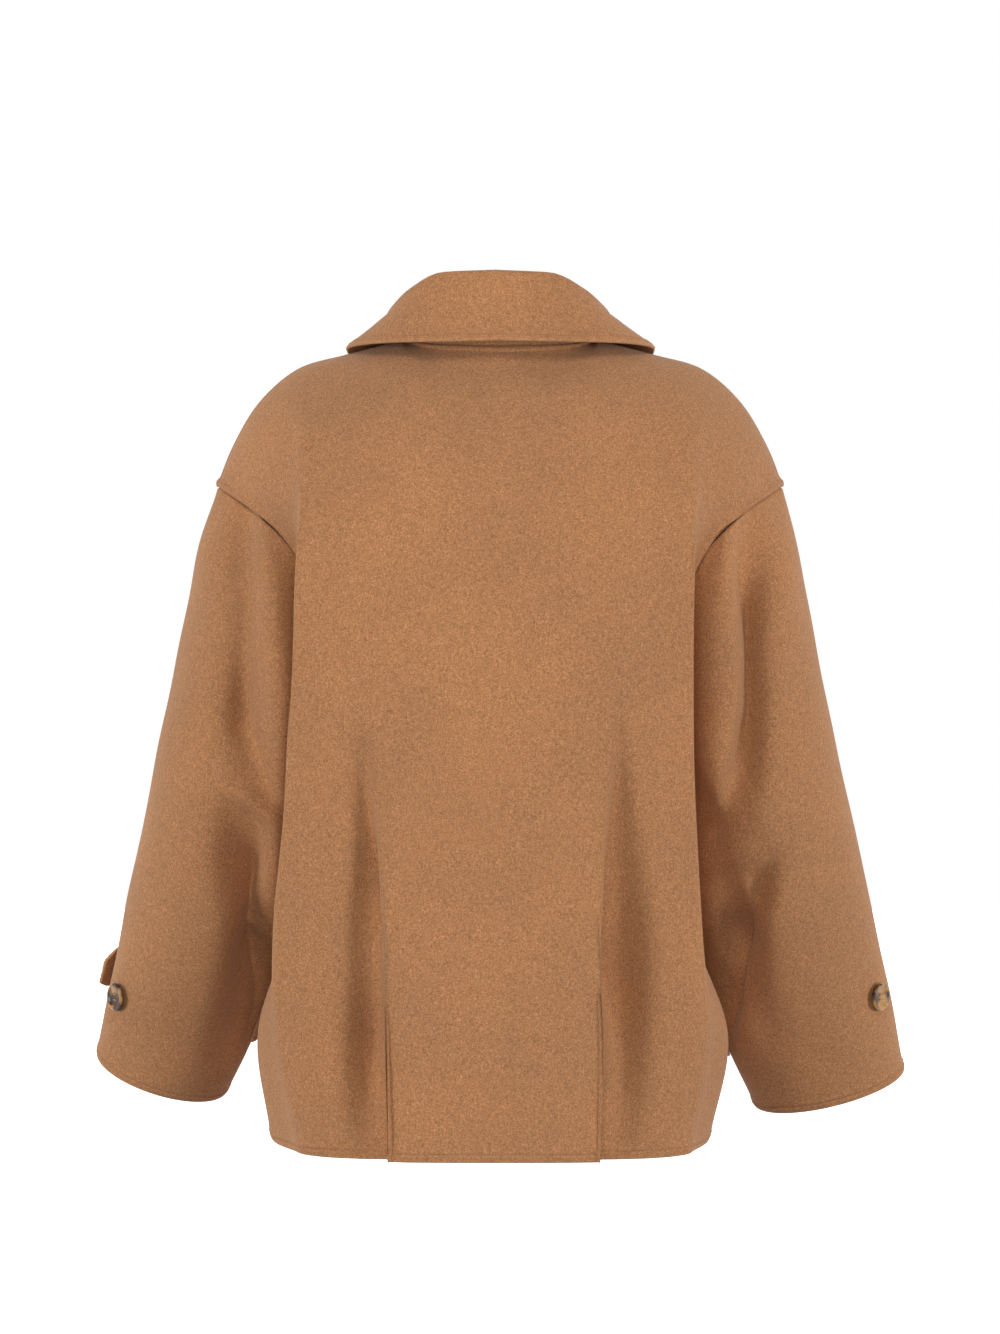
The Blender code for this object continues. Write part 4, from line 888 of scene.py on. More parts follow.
def front_place(front, row, x):
    """Points and normals of a front at a row number and distances x from the centre front."""
    index = int(np.clip(np.searchsorted(BODY_ROWS, row, side="right") - 1, 0, len(BODY_ROWS) - 2))
    part = (row - BODY_ROWS[index]) / (BODY_ROWS[index + 1] - BODY_ROWS[index])
    found = []
    for number in (index, index + 1):
        way = front.points[number, :, 0] * front.outwards
        for values in (front.points[number], front.normals[number]):
            found.append(read_along(x, way, values))
    point = found[0] * (1 - part) + found[2] * part
    return point, unit(found[1] * (1 - part) + found[3] * part)


def strip_steps(width, count):
    """Distances across a strip: even ones, then close ones towards its far edge."""
    close = np.array(EDGE_STEPS) * min(1.0, width / (2 * EDGE_STEPS[-1]))
    return np.concatenate([np.linspace(0, width - close[-1], count), width - close[-2::-1]])


def build_lapel(side, front):
    """A lapel, rolled round the front's edge and laid over the front: rows go up, columns out."""
    start = 0.0 if side == RIGHT else LEFT_LAPEL_START
    alongs = marks(start, LAPEL_ROWS[-1].along, LAPEL_STEP, end_length=LAPEL_LENGTH)
    reach = WALL + REST_GAP / 2
    edge_x = front.points[:, 0, 0] * side
    grid, normals = [], []
    for along in alongs:
        width = from_table(LAPEL_ROWS, "along", along, "width")
        lift = from_table(LAPEL_ROWS, "along", along, "lift")
        number = BREAK_ROW + along * (GORGE_ROW - BREAK_ROW)
        roll = np.interp(number, BODY_ROWS, edge_x)
        first = roll if side == RIGHT else max(roll, LAPEL_PART + reach - roll)
        rolled = 1.0 if side == RIGHT else fade(roll - first, -ROLL_SOFT, 0.0)
        base, up = front_place(front, number, np.array([first, first + AWAY_STEP]))
        away = unit(base[0] - base[1])
        away = unit(away - up[0] * np.dot(away, up[0]))
        whole_turn = radians(ROLL_STARTS) + radians(ROLL_TURNS) * rolled
        turns = np.linspace(whole_turn, 0, ROLL_COLUMNS + 1)[:-1, None]
        middle = base[0] + up[0] * REST_GAP / 2
        round_edge = away * np.sin(turns) + up[0] * np.cos(turns)
        steps = strip_steps(max(roll + width - first, LAPEL_NARROWEST), LAPEL_COLUMNS)
        share = steps / steps[-1]
        place = number - (number - BREAK_ROW) * LAPEL_FALL * along**3 * share
        spots = np.array([front_place(front, row, x) for row, x in zip(place, first + steps)])
        flat, facing = spots[:, 0], spots[:, 1]
        rise = LAPEL_RISE * fade(share, 0.0, 0.3) + lift * share
        flat = flat + facing * (WALL + REST_GAP + rise)[:, None]
        grid.append(np.concatenate([middle + round_edge * reach, flat]))
        normals.append(np.concatenate([round_edge, facing]))
    name = "lapel_left" if side == LEFT else "lapel_right"
    panel = Panel(name, np.array(grid), outwards=side)
    panel.normals = np.array(normals)
    return panel


def grid_places(panel, values, rows, columns):
    """Values of a panel's grid at fractional row and column numbers."""
    top = np.clip(np.floor(rows).astype(int), 0, values.shape[0] - 2)
    left = np.floor(columns).astype(int)
    down, right = (rows - top)[:, None, None], (columns - left)[None, :, None]
    after = (left + 1) % values.shape[1] if panel.closed else np.minimum(left + 1, values.shape[1] - 1)
    upper = values[top][:, left] * (1 - right) + values[top][:, after] * right
    lower = values[top + 1][:, left] * (1 - right) + values[top + 1][:, after] * right
    return upper * (1 - down) + lower * down


def build_strap(side, sleeve, angles):
    """A cuff strap over the front of a sleeve, pointed at its outer end."""
    strap = STRAPS[side]
    surface = sleeve.points + sleeve.normals * (sleeve.bulk + WALL + STRAP_GAP)[:, :, None]
    steps = strip_steps(STRAP_WIDTH / 2, 7)
    across = np.concatenate([-steps[:0:-1], steps]) / (STRAP_WIDTH / 2)
    upper, lower = STRAP_RINGS
    numbers = (upper + lower) / 2 + across * (lower - upper) / 2
    rows = np.interp(numbers, SLEEVE_ROWS, np.arange(len(SLEEVE_ROWS)))
    turns = marks(strap.angle_start, strap.angle_end, STRAP_STEP, start_length=STRAP_DEGREE)
    columns = np.interp(turns, angles, np.arange(len(angles)))
    body = grid_places(sleeve, surface, rows, columns)
    facing = unit(grid_places(sleeve, sleeve.normals, rows, columns))
    half = (body[0, -1] - body[-1, -1]) / 2
    middle = (body[0, -1] + body[-1, -1]) / 2
    normal = unit(facing[0, -1] + facing[-1, -1])
    before = (body[0, -4] + body[-1, -4]) / 2
    onward = unit(unit(middle - before) - np.array([0.0, 0.0, strap.droop]))
    bulge = body[:, -1] - (middle - half * across[:, None])
    tip, tip_facing = [], []
    shares = ((0.0, 1.0), *STRAP_TIP)
    curl = 1 - strap.standing_off
    for distance in strip_steps(STRAP_TIP[-1][0], 12)[1:]:
        share = np.interp(distance, *zip(*shares))
        centre = middle + onward * distance - normal * curl * distance**2 / (2 * STRAP_BEND)
        kept = 1 - fade(distance, 0.0, TIP_STARTS)
        tip.append(centre - half * across[:, None] * share + bulge * kept)
        bent = unit(normal + onward * curl * distance / STRAP_BEND)
        tip_facing.append(unit(facing[:, -1] * kept + bent * (1 - kept)))
    points = np.concatenate([body, np.array(tip).transpose(1, 0, 2)], axis=1)
    name = "cuff_strap_left" if side == LEFT else "cuff_strap_right"
    panel = Panel(name, points, outwards=-side)
    panel.normals = np.concatenate([facing, np.array(tip_facing).transpose(1, 0, 2)], axis=1)
    return panel


# ---------------------------------------------------------------- relief: edges, seams and creases
def free_edge(panel, side, among=1.0):
    """Rounds a free edge of the cloth over its whole thickness."""
    way = panel.from_side(side)
    radius = WALL / 2
    depth = radius - np.sqrt(np.maximum(radius**2 - np.maximum(radius - way, 0) ** 2, 0))
    depth = np.minimum(depth, radius - RIM_LEFT)
    panel.taper = np.maximum(panel.taper, depth * among)
    panel.worn = np.maximum(panel.worn, (1 - fade(way, 0.0, WORN_WIDTH)) * among)


def topstitching(panel, side, among=1.0, inset=STITCH_INSET):
    """The groove in which a row of topstitches lies, with the cloth full on both sides of it."""
    way = panel.from_side(side) - inset
    puff, groove = PUFF_HEIGHT * bump(way, PUFF_WIDTH), GROOVE_DEPTH * bump(way, GROOVE_WIDTH)
    panel.relief += (puff - groove) * among


def sewn_edge(panel, side, among=1.0):
    """Turns the cloth down into a seam."""
    way = panel.from_side(side)
    panel.relief -= SEAM_DEPTH * (1 - fade(way, 0.0, SEAM_WIDTH)) * among


def lapped_band(panel, side, among=1.0):
    """The seam allowance that lies under the cloth beside a seam, and lifts it."""
    way = panel.from_side(side)
    ends = fade(way, BAND_WIDTH - BAND_SOFT, BAND_WIDTH + BAND_SOFT)
    panel.relief += BAND_HEIGHT * (1 - ends) * among


def wander(places, seed):
    """Soft unevenness of thick cloth, about -1 to 1, without any repeat."""
    random = np.random.default_rng(seed)
    total = np.zeros(places.shape[:-1])
    for _ in range(WANDER_WAVES):
        way = unit(random.normal(size=3))
        length = random.uniform(*WANDER_LENGTHS)
        total += np.sin(places @ way * 2 * pi / length + random.uniform(0, 2 * pi))
    return total / WANDER_WAVES * WANDER_GAIN


def crease_height(crease, places, seed):
    """Height of one crease at flat places (n x 2): a soft ridge or trough along a bent line."""
    line = np.array(crease.line)
    best = np.full(len(places), np.inf)
    along = np.zeros(len(places))
    sided = np.zeros(len(places))
    steps = np.diff(line, axis=0)
    lengths = np.linalg.norm(steps, axis=1)
    passed = np.concatenate([[0], np.cumsum(lengths)])
    for start, step, length, before in zip(line[:-1], steps, lengths, passed[:-1]):
        part = np.clip((places - start) @ step / length**2, 0, 1)
        gap = places - start - part[:, None] * step
        distance = np.linalg.norm(gap, axis=1)
        near = distance < best
        best[near] = distance[near]
        along[near] = ((before + part * length) / passed[-1])[near]
        turn = (step[0] * gap[:, 1] - step[1] * gap[:, 0]) / length
        sided[near] = turn[near]
    random = np.random.default_rng(seed)
    *phases, widening_phase = random.uniform(0, 2 * pi, 3)
    uneven = 1.0
    for (share, turn), phase in zip(CREASE_WAVES, phases):
        uneven = uneven + share * np.sin(along * turn + phase)
    share, turn = CREASE_WIDENING
    width = crease.width * (1 + share * np.sin(along * turn + widening_phase))
    width = width * np.where(sided > 0, 1 + crease.lean, 1 - crease.lean)
    ends = np.sin(pi * np.clip(along, 0, 1)) ** CREASE_FULLNESS
    return crease.height * uneven * ends * np.exp(-((best / width) ** 2) * CREASE_FALL)


def add_creases(panel, creases, facing):
    """Adds creases, drawn in x and z, to the side of a panel that looks the given way along y."""
    points = panel.points.reshape(-1, 3)
    seen = fade(panel.normals.reshape(-1, 3)[:, 1] * facing, *CREASE_SEEN)
    height = np.zeros(len(points))
    for number, crease in enumerate(creases):
        seed = number + SEED_STEP * len(panel.name)
        height += crease_height(crease, points[:, [0, 2]], seed)
    panel.bulk += (height * seen).reshape(panel.bulk.shape)


# ---------------------------------------------------------------- meshes
def grid_faces(rows, columns, closed, turned):
    """Four-sided faces of a grid of points."""
    cells = columns if closed else columns - 1
    row, column = np.meshgrid(np.arange(rows - 1), np.arange(cells), indexing="ij")
    right = (column + 1) % columns
    a, b = row * columns + column, row * columns + right
    faces = np.stack([a, b, b + columns, a + columns], axis=-1).reshape(-1, 4)
    return faces[:, ::-1] if turned else faces


def outer_face(panel):
    """The finished outer face of a panel, with its creases and relief."""
    return panel.points + panel.normals * (panel.bulk + panel.relief - panel.taper)[:, :, None]


def add_mesh(name, points, faces, material):
    mesh = bpy.data.meshes.new(name)
    mesh.from_pydata(list(map(tuple, points)), [], list(map(tuple, faces)))
    mesh.shade_smooth()
    mesh.materials.append(material)
    piece = bpy.data.objects.new(name, mesh)
    bpy.context.scene.collection.objects.link(piece)
    return piece


def add_wall(panel, material):
    """The closed wall of cloth under a panel's outer face."""
    rows, columns = panel.points.shape[:2]
    outer = outer_face(panel).reshape(-1, 3)
    inner = panel.points + panel.normals * (panel.bulk + panel.taper - WALL)[:, :, None]
    inner = inner.reshape(-1, 3)
    count = len(outer)
    turned = panel.outwards < 0
    faces = [
        grid_faces(rows, columns, panel.closed, turned),
        grid_faces(rows, columns, panel.closed, not turned) + count,
    ]
    bottom = np.arange(columns)
    top = bottom + (rows - 1) * columns
    if panel.closed:
        loops = [np.append(bottom, 0), np.append(top, top[0])[::-1]]
    else:
        right = np.arange(rows) * columns + columns - 1
        left = np.arange(rows) * columns
        loops = [np.concatenate([bottom, right[1:], top[-2::-1], left[-2::-1]])]
    for loop in loops:
        rim = np.stack([loop[1:], loop[:-1], loop[:-1] + count, loop[1:] + count], axis=1)
        faces.append(rim[:, ::-1] if turned else rim)
    piece = add_mesh(panel.name + "_cloth", np.concatenate([outer, inner]), np.concatenate(faces), material)
    worn = piece.data.attributes.new("worn", "FLOAT", "POINT")
    worn.data.foreach_set("value", np.tile(panel.worn.reshape(-1), 2).astype(np.float32))
    return piece


def line_beside(panel, side, inset, start, end):
    """Points and normals on a panel's outer face, at one distance from a side."""
    face = outer_face(panel)
    way = panel.from_side(side)
    normals = panel.normals
    if side in ("bottom", "top"):
        face, normals, way = face.transpose(1, 0, 2), normals.transpose(1, 0, 2), way.T
    if side in ("top", "last"):
        face, normals, way = face[:, ::-1], normals[:, ::-1], way[:, ::-1]
    places = np.array([read_along(inset, *line) for line in zip(way, face)])
    facings = unit(np.array([read_along(inset, *line) for line in zip(way, normals)]))
    low, high = int(round(start * (len(places) - 1))), int(round(end * (len(places) - 1)))
    return places[low : high + 1], facings[low : high + 1]


class StitchRows:
    """Spots for stitches, gathered for one piece of cloth."""

    def __init__(self):
        self.spots, self.alongs, self.facings = [], [], []

    def add_line(self, places, facings, spacing):
        steps = np.linalg.norm(np.diff(places, axis=0), axis=1)
        way = np.concatenate([[0], np.cumsum(steps)])
        count = int(way[-1] / spacing)
        if count < 2:
            return
        at = (np.arange(count) + 0.5) * way[-1] / count
        before, after = (read_along(at + step, way, places) for step in (-spacing / 2, spacing / 2))
        self.spots.append(read_along(at, way, places))
        self.alongs.append(unit(after - before))
        self.facings.append(unit(read_along(at, way, facings)))

    def add_beside(self, panel, side, inset, start, end):
        self.add_line(*line_beside(panel, side, inset, start, end), STITCH_SPACING)


# ---------------------------------------------------------------- stitches
def set_inputs(node, values):
    """Sets inputs of a node, given by name or number."""
    for socket, value in values.items():
        node.inputs[socket].default_value = value


def random_value(tree, seed):
    """A node for one random value for each spot; inputs 2 and 3 are its least and its most."""
    value = tree.nodes.new("FunctionNodeRandomValue")
    value.data_type = "FLOAT"
    set_inputs(value, {"Seed": seed})
    return value


def stitch_tree():
    """Geometry nodes that lay one rounded stitch on each spot, turned by the spot's directions."""
    tree = bpy.data.node_groups.new("sewn_stitches", "GeometryNodeTree")
    for name, way, kind in (
        ("Spots", "INPUT", "Geometry"), ("Length", "INPUT", "Float"), ("Width", "INPUT", "Float"),
        ("Height", "INPUT", "Float"), ("Tilt", "INPUT", "Float"), ("Thread", "INPUT", "Material"),
        ("Stitches", "OUTPUT", "Geometry"),
    ):
        tree.interface.new_socket(name=name, in_out=way, socket_type="NodeSocket" + kind)
    nodes, links = tree.nodes, tree.links
    given = nodes.new("NodeGroupInput")
    result = nodes.new("NodeGroupOutput")

    rod = nodes.new("GeometryNodeMeshUVSphere")
    set_inputs(rod, {"Segments": 6, "Rings": 4, "Radius": 0.5})
    size = nodes.new("ShaderNodeCombineXYZ")
    for axis, name in zip("XYZ", ("Length", "Width", "Height")):
        links.new(given.outputs[name], size.inputs[axis])
    shaped = nodes.new("GeometryNodeTransform")
    links.new(rod.outputs["Mesh"], shaped.inputs["Geometry"])
    links.new(size.outputs["Vector"], shaped.inputs["Scale"])

    turn = nodes.new("FunctionNodeAxesToRotation")
    turn.primary_axis, turn.secondary_axis = "X", "Z"
    for name, socket in (("along", "Primary Axis"), ("facing", "Secondary Axis")):
        stored = nodes.new("GeometryNodeInputNamedAttribute")
        stored.data_type = "FLOAT_VECTOR"
        set_inputs(stored, {"Name": name})
        links.new(stored.outputs["Attribute"], turn.inputs[socket])
    angle = random_value(tree, seed=7)
    less = nodes.new("ShaderNodeMath")
    less.operation = "MULTIPLY"
    set_inputs(less, {1: -1.0})
    links.new(given.outputs["Tilt"], less.inputs[0])
    links.new(less.outputs["Value"], angle.inputs[2])
    links.new(given.outputs["Tilt"], angle.inputs[3])
    tilt = nodes.new("FunctionNodeAxisAngleToRotation")
    set_inputs(tilt, {"Axis": (0.0, 0.0, 1.0)})
    links.new(angle.outputs[1], tilt.inputs["Angle"])
    tilted = nodes.new("FunctionNodeRotateRotation")
    tilted.rotation_space = "LOCAL"
    links.new(turn.outputs["Rotation"], tilted.inputs["Rotation"])
    links.new(tilt.outputs["Rotation"], tilted.inputs["Rotate By"])

    scatter = random_value(tree, seed=23)
    set_inputs(scatter, {2: STITCH_SIZES[0], 3: STITCH_SIZES[1]})
    laid = nodes.new("GeometryNodeInstanceOnPoints")
    links.new(given.outputs["Spots"], laid.inputs["Points"])
    links.new(shaped.outputs["Geometry"], laid.inputs["Instance"])
    links.new(tilted.outputs["Rotation"], laid.inputs["Rotation"])
    links.new(scatter.outputs[1], laid.inputs["Scale"])
    real = nodes.new("GeometryNodeRealizeInstances")
    finished = nodes.new("GeometryNodeSetMaterial")
    links.new(laid.outputs["Instances"], real.inputs["Geometry"])
    links.new(real.outputs["Geometry"], finished.inputs["Geometry"])
    links.new(given.outputs["Thread"], finished.inputs["Material"])
    links.new(finished.outputs["Geometry"], result.inputs["Stitches"])
    return tree


def add_stitches(name, rows, tree, thread, length=STITCH_LENGTH, tilt=STITCH_TILT):
    """Turns rows of spots into one mesh of stitches."""
    mesh = bpy.data.meshes.new(name + "_spots")
    mesh.from_pydata(np.concatenate(rows.spots).tolist(), [], [])
    for word, values in (("along", rows.alongs), ("facing", rows.facings)):
        stored = mesh.attributes.new(word, "FLOAT_VECTOR", "POINT")
        stored.data.foreach_set("vector", np.concatenate(values).astype(np.float32).reshape(-1))
    source = bpy.data.objects.new(name + "_spots", mesh)
    bpy.context.scene.collection.objects.link(source)
    modifier = source.modifiers.new("stitches", "NODES")
    modifier.node_group = tree
    sizes = {
        "Length": length, "Width": STITCH_WIDTH, "Height": STITCH_HEIGHT, "Tilt": tilt, "Thread": thread,
    }
    for item in tree.interface.items_tree:
        if item.item_type == "SOCKET" and item.name in sizes:
            modifier[item.identifier] = sizes[item.name]
    graph = bpy.context.evaluated_depsgraph_get()
    made = bpy.data.meshes.new_from_object(source.evaluated_get(graph), depsgraph=graph)
    made.name = name
    made.shade_smooth()
    bpy.data.objects.remove(source)
    bpy.data.meshes.remove(mesh)
    piece = bpy.data.objects.new(name, made)
    bpy.context.scene.collection.objects.link(piece)
    return piece


def buttonhole_rows(place, normal, side):
    """Close stitches round one worked buttonhole, from its button towards a side (1 or -1 on x)."""
    inwards = unit(np.array([side, 0.0, 0.0]) - normal * normal[0] * side)
    upwards = np.cross(normal, inwards)
    start, end = -BUTTONHOLE_PAST, BUTTONHOLE_LENGTH - BUTTONHOLE_PAST
    rows = StitchRows()
    spots, ways = [], []
    for edge in (-1, 1):
        for along in np.arange(start, end, BUTTONHOLE_SPACING):
            spots.append(place + inwards * along + upwards * edge * BUTTONHOLE_HALF)
            ways.append(upwards)
    for centre, way in ((end, 1), (start, -1)):
        for turn in np.linspace(-pi / 2, pi / 2, 9):
            out = inwards * way * cos(turn) + upwards * sin(turn)
            spots.append(place + inwards * centre + out * BUTTONHOLE_HALF)
            ways.append(out)
    rows.spots.append(np.array(spots))
    rows.alongs.append(np.array(ways))
    rows.facings.append(np.tile(normal, (len(spots), 1)))
    return rows


# ---------------------------------------------------------------- buttons
def turned(profile, segments=64):
    """A closed turned shape from (radius, height) pairs, which start and end on its axis."""
    points = [(0.0, 0.0, profile[0][1])]
    for radius, height in profile[1:-1]:
        for step in range(segments):
            turn = 2 * pi * step / segments
            points.append((radius * cos(turn), radius * sin(turn), height))
    points.append((0.0, 0.0, profile[-1][1]))
    rings = len(profile) - 2
    faces = []
    for step in range(segments):
        onward = (step + 1) % segments
        faces.append((0, 1 + onward, 1 + step))
        for ring in range(rings - 1):
            a, b = 1 + ring * segments + step, 1 + ring * segments + onward
            faces.append((a, b, b + segments, a + segments))
        last = 1 + (rings - 1) * segments
        faces.append((last + step, last + onward, len(points) - 1))
    return points, faces


def tube(places, radius, sides=8):
    """A closed round thread through places."""
    places = np.array(places, float)
    ways = unit(np.gradient(places, axis=0))
    points, faces = [], []
    for place, way in zip(places, ways):
        across = unit(np.cross(way, np.array([0.3, 0.2, 1.0])))
        over = np.cross(way, across)
        for step in range(sides):
            turn = 2 * pi * step / sides
            points.append(place + (across * cos(turn) + over * sin(turn)) * radius)
    for ring in range(len(places) - 1):
        for step in range(sides):
            onward = (step + 1) % sides
            a, b = ring * sides + step, ring * sides + onward
            faces.append((a, b, b + sides, a + sides))
    faces.append(tuple(range(sides))[::-1])
    last = (len(places) - 1) * sides
    faces.append(tuple(last + step for step in range(sides)))
    return points, faces


def button_disc(name, radius, horn):
    """A horn button with a raised rim and four holes, lying flat round its own axis."""
    under, top = THREAD_SHANK_HEIGHT, THREAD_SHANK_HEIGHT + BUTTON_THICKNESS
    profile = [(radius * out, under + BUTTON_THICKNESS * up) for out, up in BUTTON_OUTLINE]
    disc = add_mesh(name + "_horn", *turned(profile), horn)
    low, high = under - DRILL_PAST, top + DRILL_PAST
    drill = turned([(0.0, low), (BUTTON_HOLE, low), (BUTTON_HOLE, high), (0.0, high)], 20)
    reach = HOLE_REACH * radius * HOLE_DIAGONAL
    cutters = []
    for quarter in range(4):
        turn = pi / 4 + quarter * pi / 2
        cutter = add_mesh("drill", *drill, horn)
        cutter.location = (reach * cos(turn), reach * sin(turn), 0.0)
        cutters.append(cutter)
        cut = disc.modifiers.new("hole", "BOOLEAN")
        cut.object = cutter
        cut.operation = "DIFFERENCE"
    bpy.context.view_layer.update()
    graph = bpy.context.evaluated_depsgraph_get()
    whole, mesh = disc.data, bpy.data.meshes.new_from_object(disc.evaluated_get(graph), depsgraph=graph)
    disc.modifiers.clear()
    disc.data = mesh
    bpy.data.meshes.remove(whole)
    for cutter in cutters:
        bpy.data.objects.remove(cutter)
    mesh.set_sharp_from_angle(angle=radians(BUTTON_CREASE))
    return disc


def button_thread(name, radius, thread):
    """The thread through a button's holes and its wound shank, lying flat round the same axis."""
    under = THREAD_SHANK_HEIGHT
    face = under + BUTTON_FACE * BUTTON_THICKNESS
    shapes = []
    for level in (-1, 1):
        for strand in (-1, 0, 1):
            y = level * HOLE_REACH * radius + strand * THREAD_RADIUS * STRAND_GAP
            reach = HOLE_REACH * radius * (1.0 + STRAND_SPREAD * strand)
            line = []
            for turn in np.linspace(0.02, pi - 0.02, 13):
                dip = STRAND_DIP * (abs(cos(turn)) > STRAND_END)
                line.append((reach * cos(turn), y, face + STRAND_ARCH * sin(turn) ** 0.5 - dip))
            shapes.append(tube(line, THREAD_RADIUS))
    middle, swing = SHANK_WRAPS
    wraps = [(0.0, -SHANK_SINK)]
    for step in range(SHANK_STEPS + 1):
        height = -SHANK_SINK + (under + SHANK_SINK + SHANK_INTO) * step / SHANK_STEPS
        wraps.append((THREAD_SHANK_RADIUS * (middle + swing * cos(step * pi / 2)), height))
    wraps.append((0.0, under + SHANK_INTO))
    shapes.append(turned(wraps, 20))
    points, faces = [], []
    for corners, sides in shapes:
        before = len(points)
        points.extend(tuple(corner) for corner in corners)
        faces.extend(tuple(corner + before for corner in side) for side in sides)
    return add_mesh(name + "_thread", points, faces, thread)


def add_button(name, radius, place, normal, horn, thread):
    """A four-hole horn button with its thread, stood on the cloth along its normal."""
    across = unit(np.cross(normal, np.array([0.0, 0.0, 1.0])))
    upwards = np.cross(normal, across)
    stand = Matrix((across, upwards, normal)).transposed().to_4x4()
    stand.translation = Vector(place)
    pieces = button_disc(name, radius, horn), button_thread(name, radius, thread)
    for piece in pieces:
        piece.data.transform(stand)
    return pieces


# ---------------------------------------------------------------- finishes
def new_finish(name, values):
    """A material whose shader has these values: the material, its node tree and its shader."""
    material = bpy.data.materials.new(name)
    material.use_nodes = True
    shader = material.node_tree.nodes["Principled BSDF"]
    set_inputs(shader, values)
    return material, material.node_tree, shader


def own_place(tree):
    """Where a point lies on the piece itself."""
    return tree.nodes.new("ShaderNodeTexCoord").outputs["Object"]


def noise(tree, where, scale, detail, roughness, stretch=None):
    """A noise pattern, turned and drawn out where stretch is given."""
    if stretch is not None:
        mapping = tree.nodes.new("ShaderNodeMapping")
        set_inputs(mapping, {"Scale": stretch, "Rotation": GRAIN_TURN})
        tree.links.new(where, mapping.inputs["Vector"])
        where = mapping.outputs["Vector"]
    texture = tree.nodes.new("ShaderNodeTexNoise")
    set_inputs(texture, {"Scale": scale, "Detail": detail, "Roughness": roughness})
    tree.links.new(where, texture.inputs["Vector"])
    return texture.outputs["Fac"]


def spread(tree, value, low=0.0, high=1.0, middle=0.5, half=0.2):
    """Maps a noise value, which lies about its middle, to a range."""
    ranged = tree.nodes.new("ShaderNodeMapRange")
    set_inputs(ranged, {"From Min": middle - half, "From Max": middle + half, "To Min": low, "To Max": high})
    tree.links.new(value, ranged.inputs["Value"])
    return ranged.outputs["Result"]


def reckon(tree, operation, first, second):
    """The sum or product of two outputs."""
    result = tree.nodes.new("ShaderNodeMath")
    result.operation = operation
    tree.links.new(first, result.inputs[0])
    tree.links.new(second, result.inputs[1])
    return result.outputs["Value"]


def blended(tree, share, first, second):
    """A mix of two colours, either of them given as a value or as another node's output."""
    mix = tree.nodes.new("ShaderNodeMix")
    mix.data_type = "RGBA"
    tree.links.new(share, mix.inputs["Factor"])
    for socket, colour in ((mix.inputs[6], first), (mix.inputs[7], second)):
        if isinstance(colour, tuple):
            socket.default_value = (*colour, 1.0)
        else:
            tree.links.new(colour, socket)
    return mix.outputs[2]


def add_bumps(tree, shader, height, strength, distance):
    """The finest relief of a finish."""
    bumps = tree.nodes.new("ShaderNodeBump")
    set_inputs(bumps, {"Strength": strength, "Distance": distance})
    tree.links.new(height, bumps.inputs["Height"])
    tree.links.new(bumps.outputs["Normal"], shader.inputs["Normal"])


def wool_finish():
    """Brushed felted wool: a mottled nap with fine fibres, a slow drift of tone, paler edges."""
    material, tree, shader = new_finish("camel_wool", {
        "Roughness": 0.95, "Specular IOR Level": 0.18,
        "Sheen Weight": 0.22, "Sheen Roughness": 0.45, "Sheen Tint": WOOL_SHEEN,
    })
    where = own_place(tree)
    mottle = noise(tree, where, 760.0, 4.0, 0.62)
    clumps = noise(tree, where, 230.0, 3.0, 0.5)
    fibres = noise(tree, where, 900.0, 3.0, 0.7, stretch=(1.0, 1.0, 0.22))
    hairs = noise(tree, where, 1500.0, 2.0, 0.6, stretch=(0.2, 1.0, 1.0))
    drift = noise(tree, where, 9.0, 2.0, 0.5)
    tone = spread(tree, mottle, 0.60, 1.40)
    for value, reach in ((clumps, 0.07), (fibres, 0.14), (hairs, 0.12), (drift, 0.03)):
        tone = reckon(tree, "MULTIPLY", tone, spread(tree, value, 1 - reach, 1 + reach))
    shaded = tree.nodes.new("ShaderNodeVectorMath")
    shaded.operation = "SCALE"
    tree.links.new(blended(tree, spread(tree, drift), WOOL_COLOUR, WOOL_WARM), shaded.inputs[0])
    tree.links.new(tone, shaded.inputs["Scale"])
    worn = tree.nodes.new("ShaderNodeAttribute")
    worn.attribute_name = "worn"
    patchy = reckon(tree, "MULTIPLY", worn.outputs["Fac"], spread(tree, clumps, 0.1, 0.55))
    colour = blended(tree, patchy, shaded.outputs["Vector"], WOOL_WORN)
    tree.links.new(colour, shader.inputs["Base Color"])
    tree.links.new(spread(tree, mottle, 0.90, 1.0), shader.inputs["Roughness"])
    height = reckon(tree, "ADD", mottle, reckon(tree, "MULTIPLY", fibres, hairs))
    add_bumps(tree, shader, height, 0.55, 0.0007)
    return material


def thread_finish():
    """Twisted sewing thread in the wool's own tone, a little darker."""
    material, tree, shader = new_finish("camel_thread", {"Roughness": 0.7, "Sheen Weight": 0.15})
    twist = noise(tree, own_place(tree), 1600.0, 2.0, 0.5)
    colour = blended(tree, spread(tree, twist), THREAD_DARK, THREAD_LIGHT)
    tree.links.new(colour, shader.inputs["Base Color"])
    add_bumps(tree, shader, twist, 0.4, 0.0001)
    return material


def horn_finish():
    """Polished horn: amber clouded with dark brown, under a clear gloss."""
    material, tree, shader = new_finish("brown_horn", {
        "Roughness": 0.28, "Specular IOR Level": 0.28, "Coat Weight": 0.06, "Coat Roughness": 0.08,
    })
    where = own_place(tree)
    clouds = noise(tree, where, 61.0, 2.0, 0.5, stretch=(1.0, 1.0, 0.8))
    streaks = noise(tree, where, 210.0, 4.0, 0.6, stretch=(1.0, 0.8, 0.16))
    dark = blended(tree, spread(tree, streaks), HORN_BLACK, HORN_BROWN)
    light = blended(tree, spread(tree, streaks), HORN_AMBER, HORN_CREAM)
    share = spread(tree, clouds, middle=0.47, half=0.05)
    tree.links.new(blended(tree, share, light, dark), shader.inputs["Base Color"])
    tree.links.new(spread(tree, streaks, 0.24, 0.34), shader.inputs["Roughness"])
    add_bumps(tree, shader, streaks, 0.12, 0.0002)
    return material


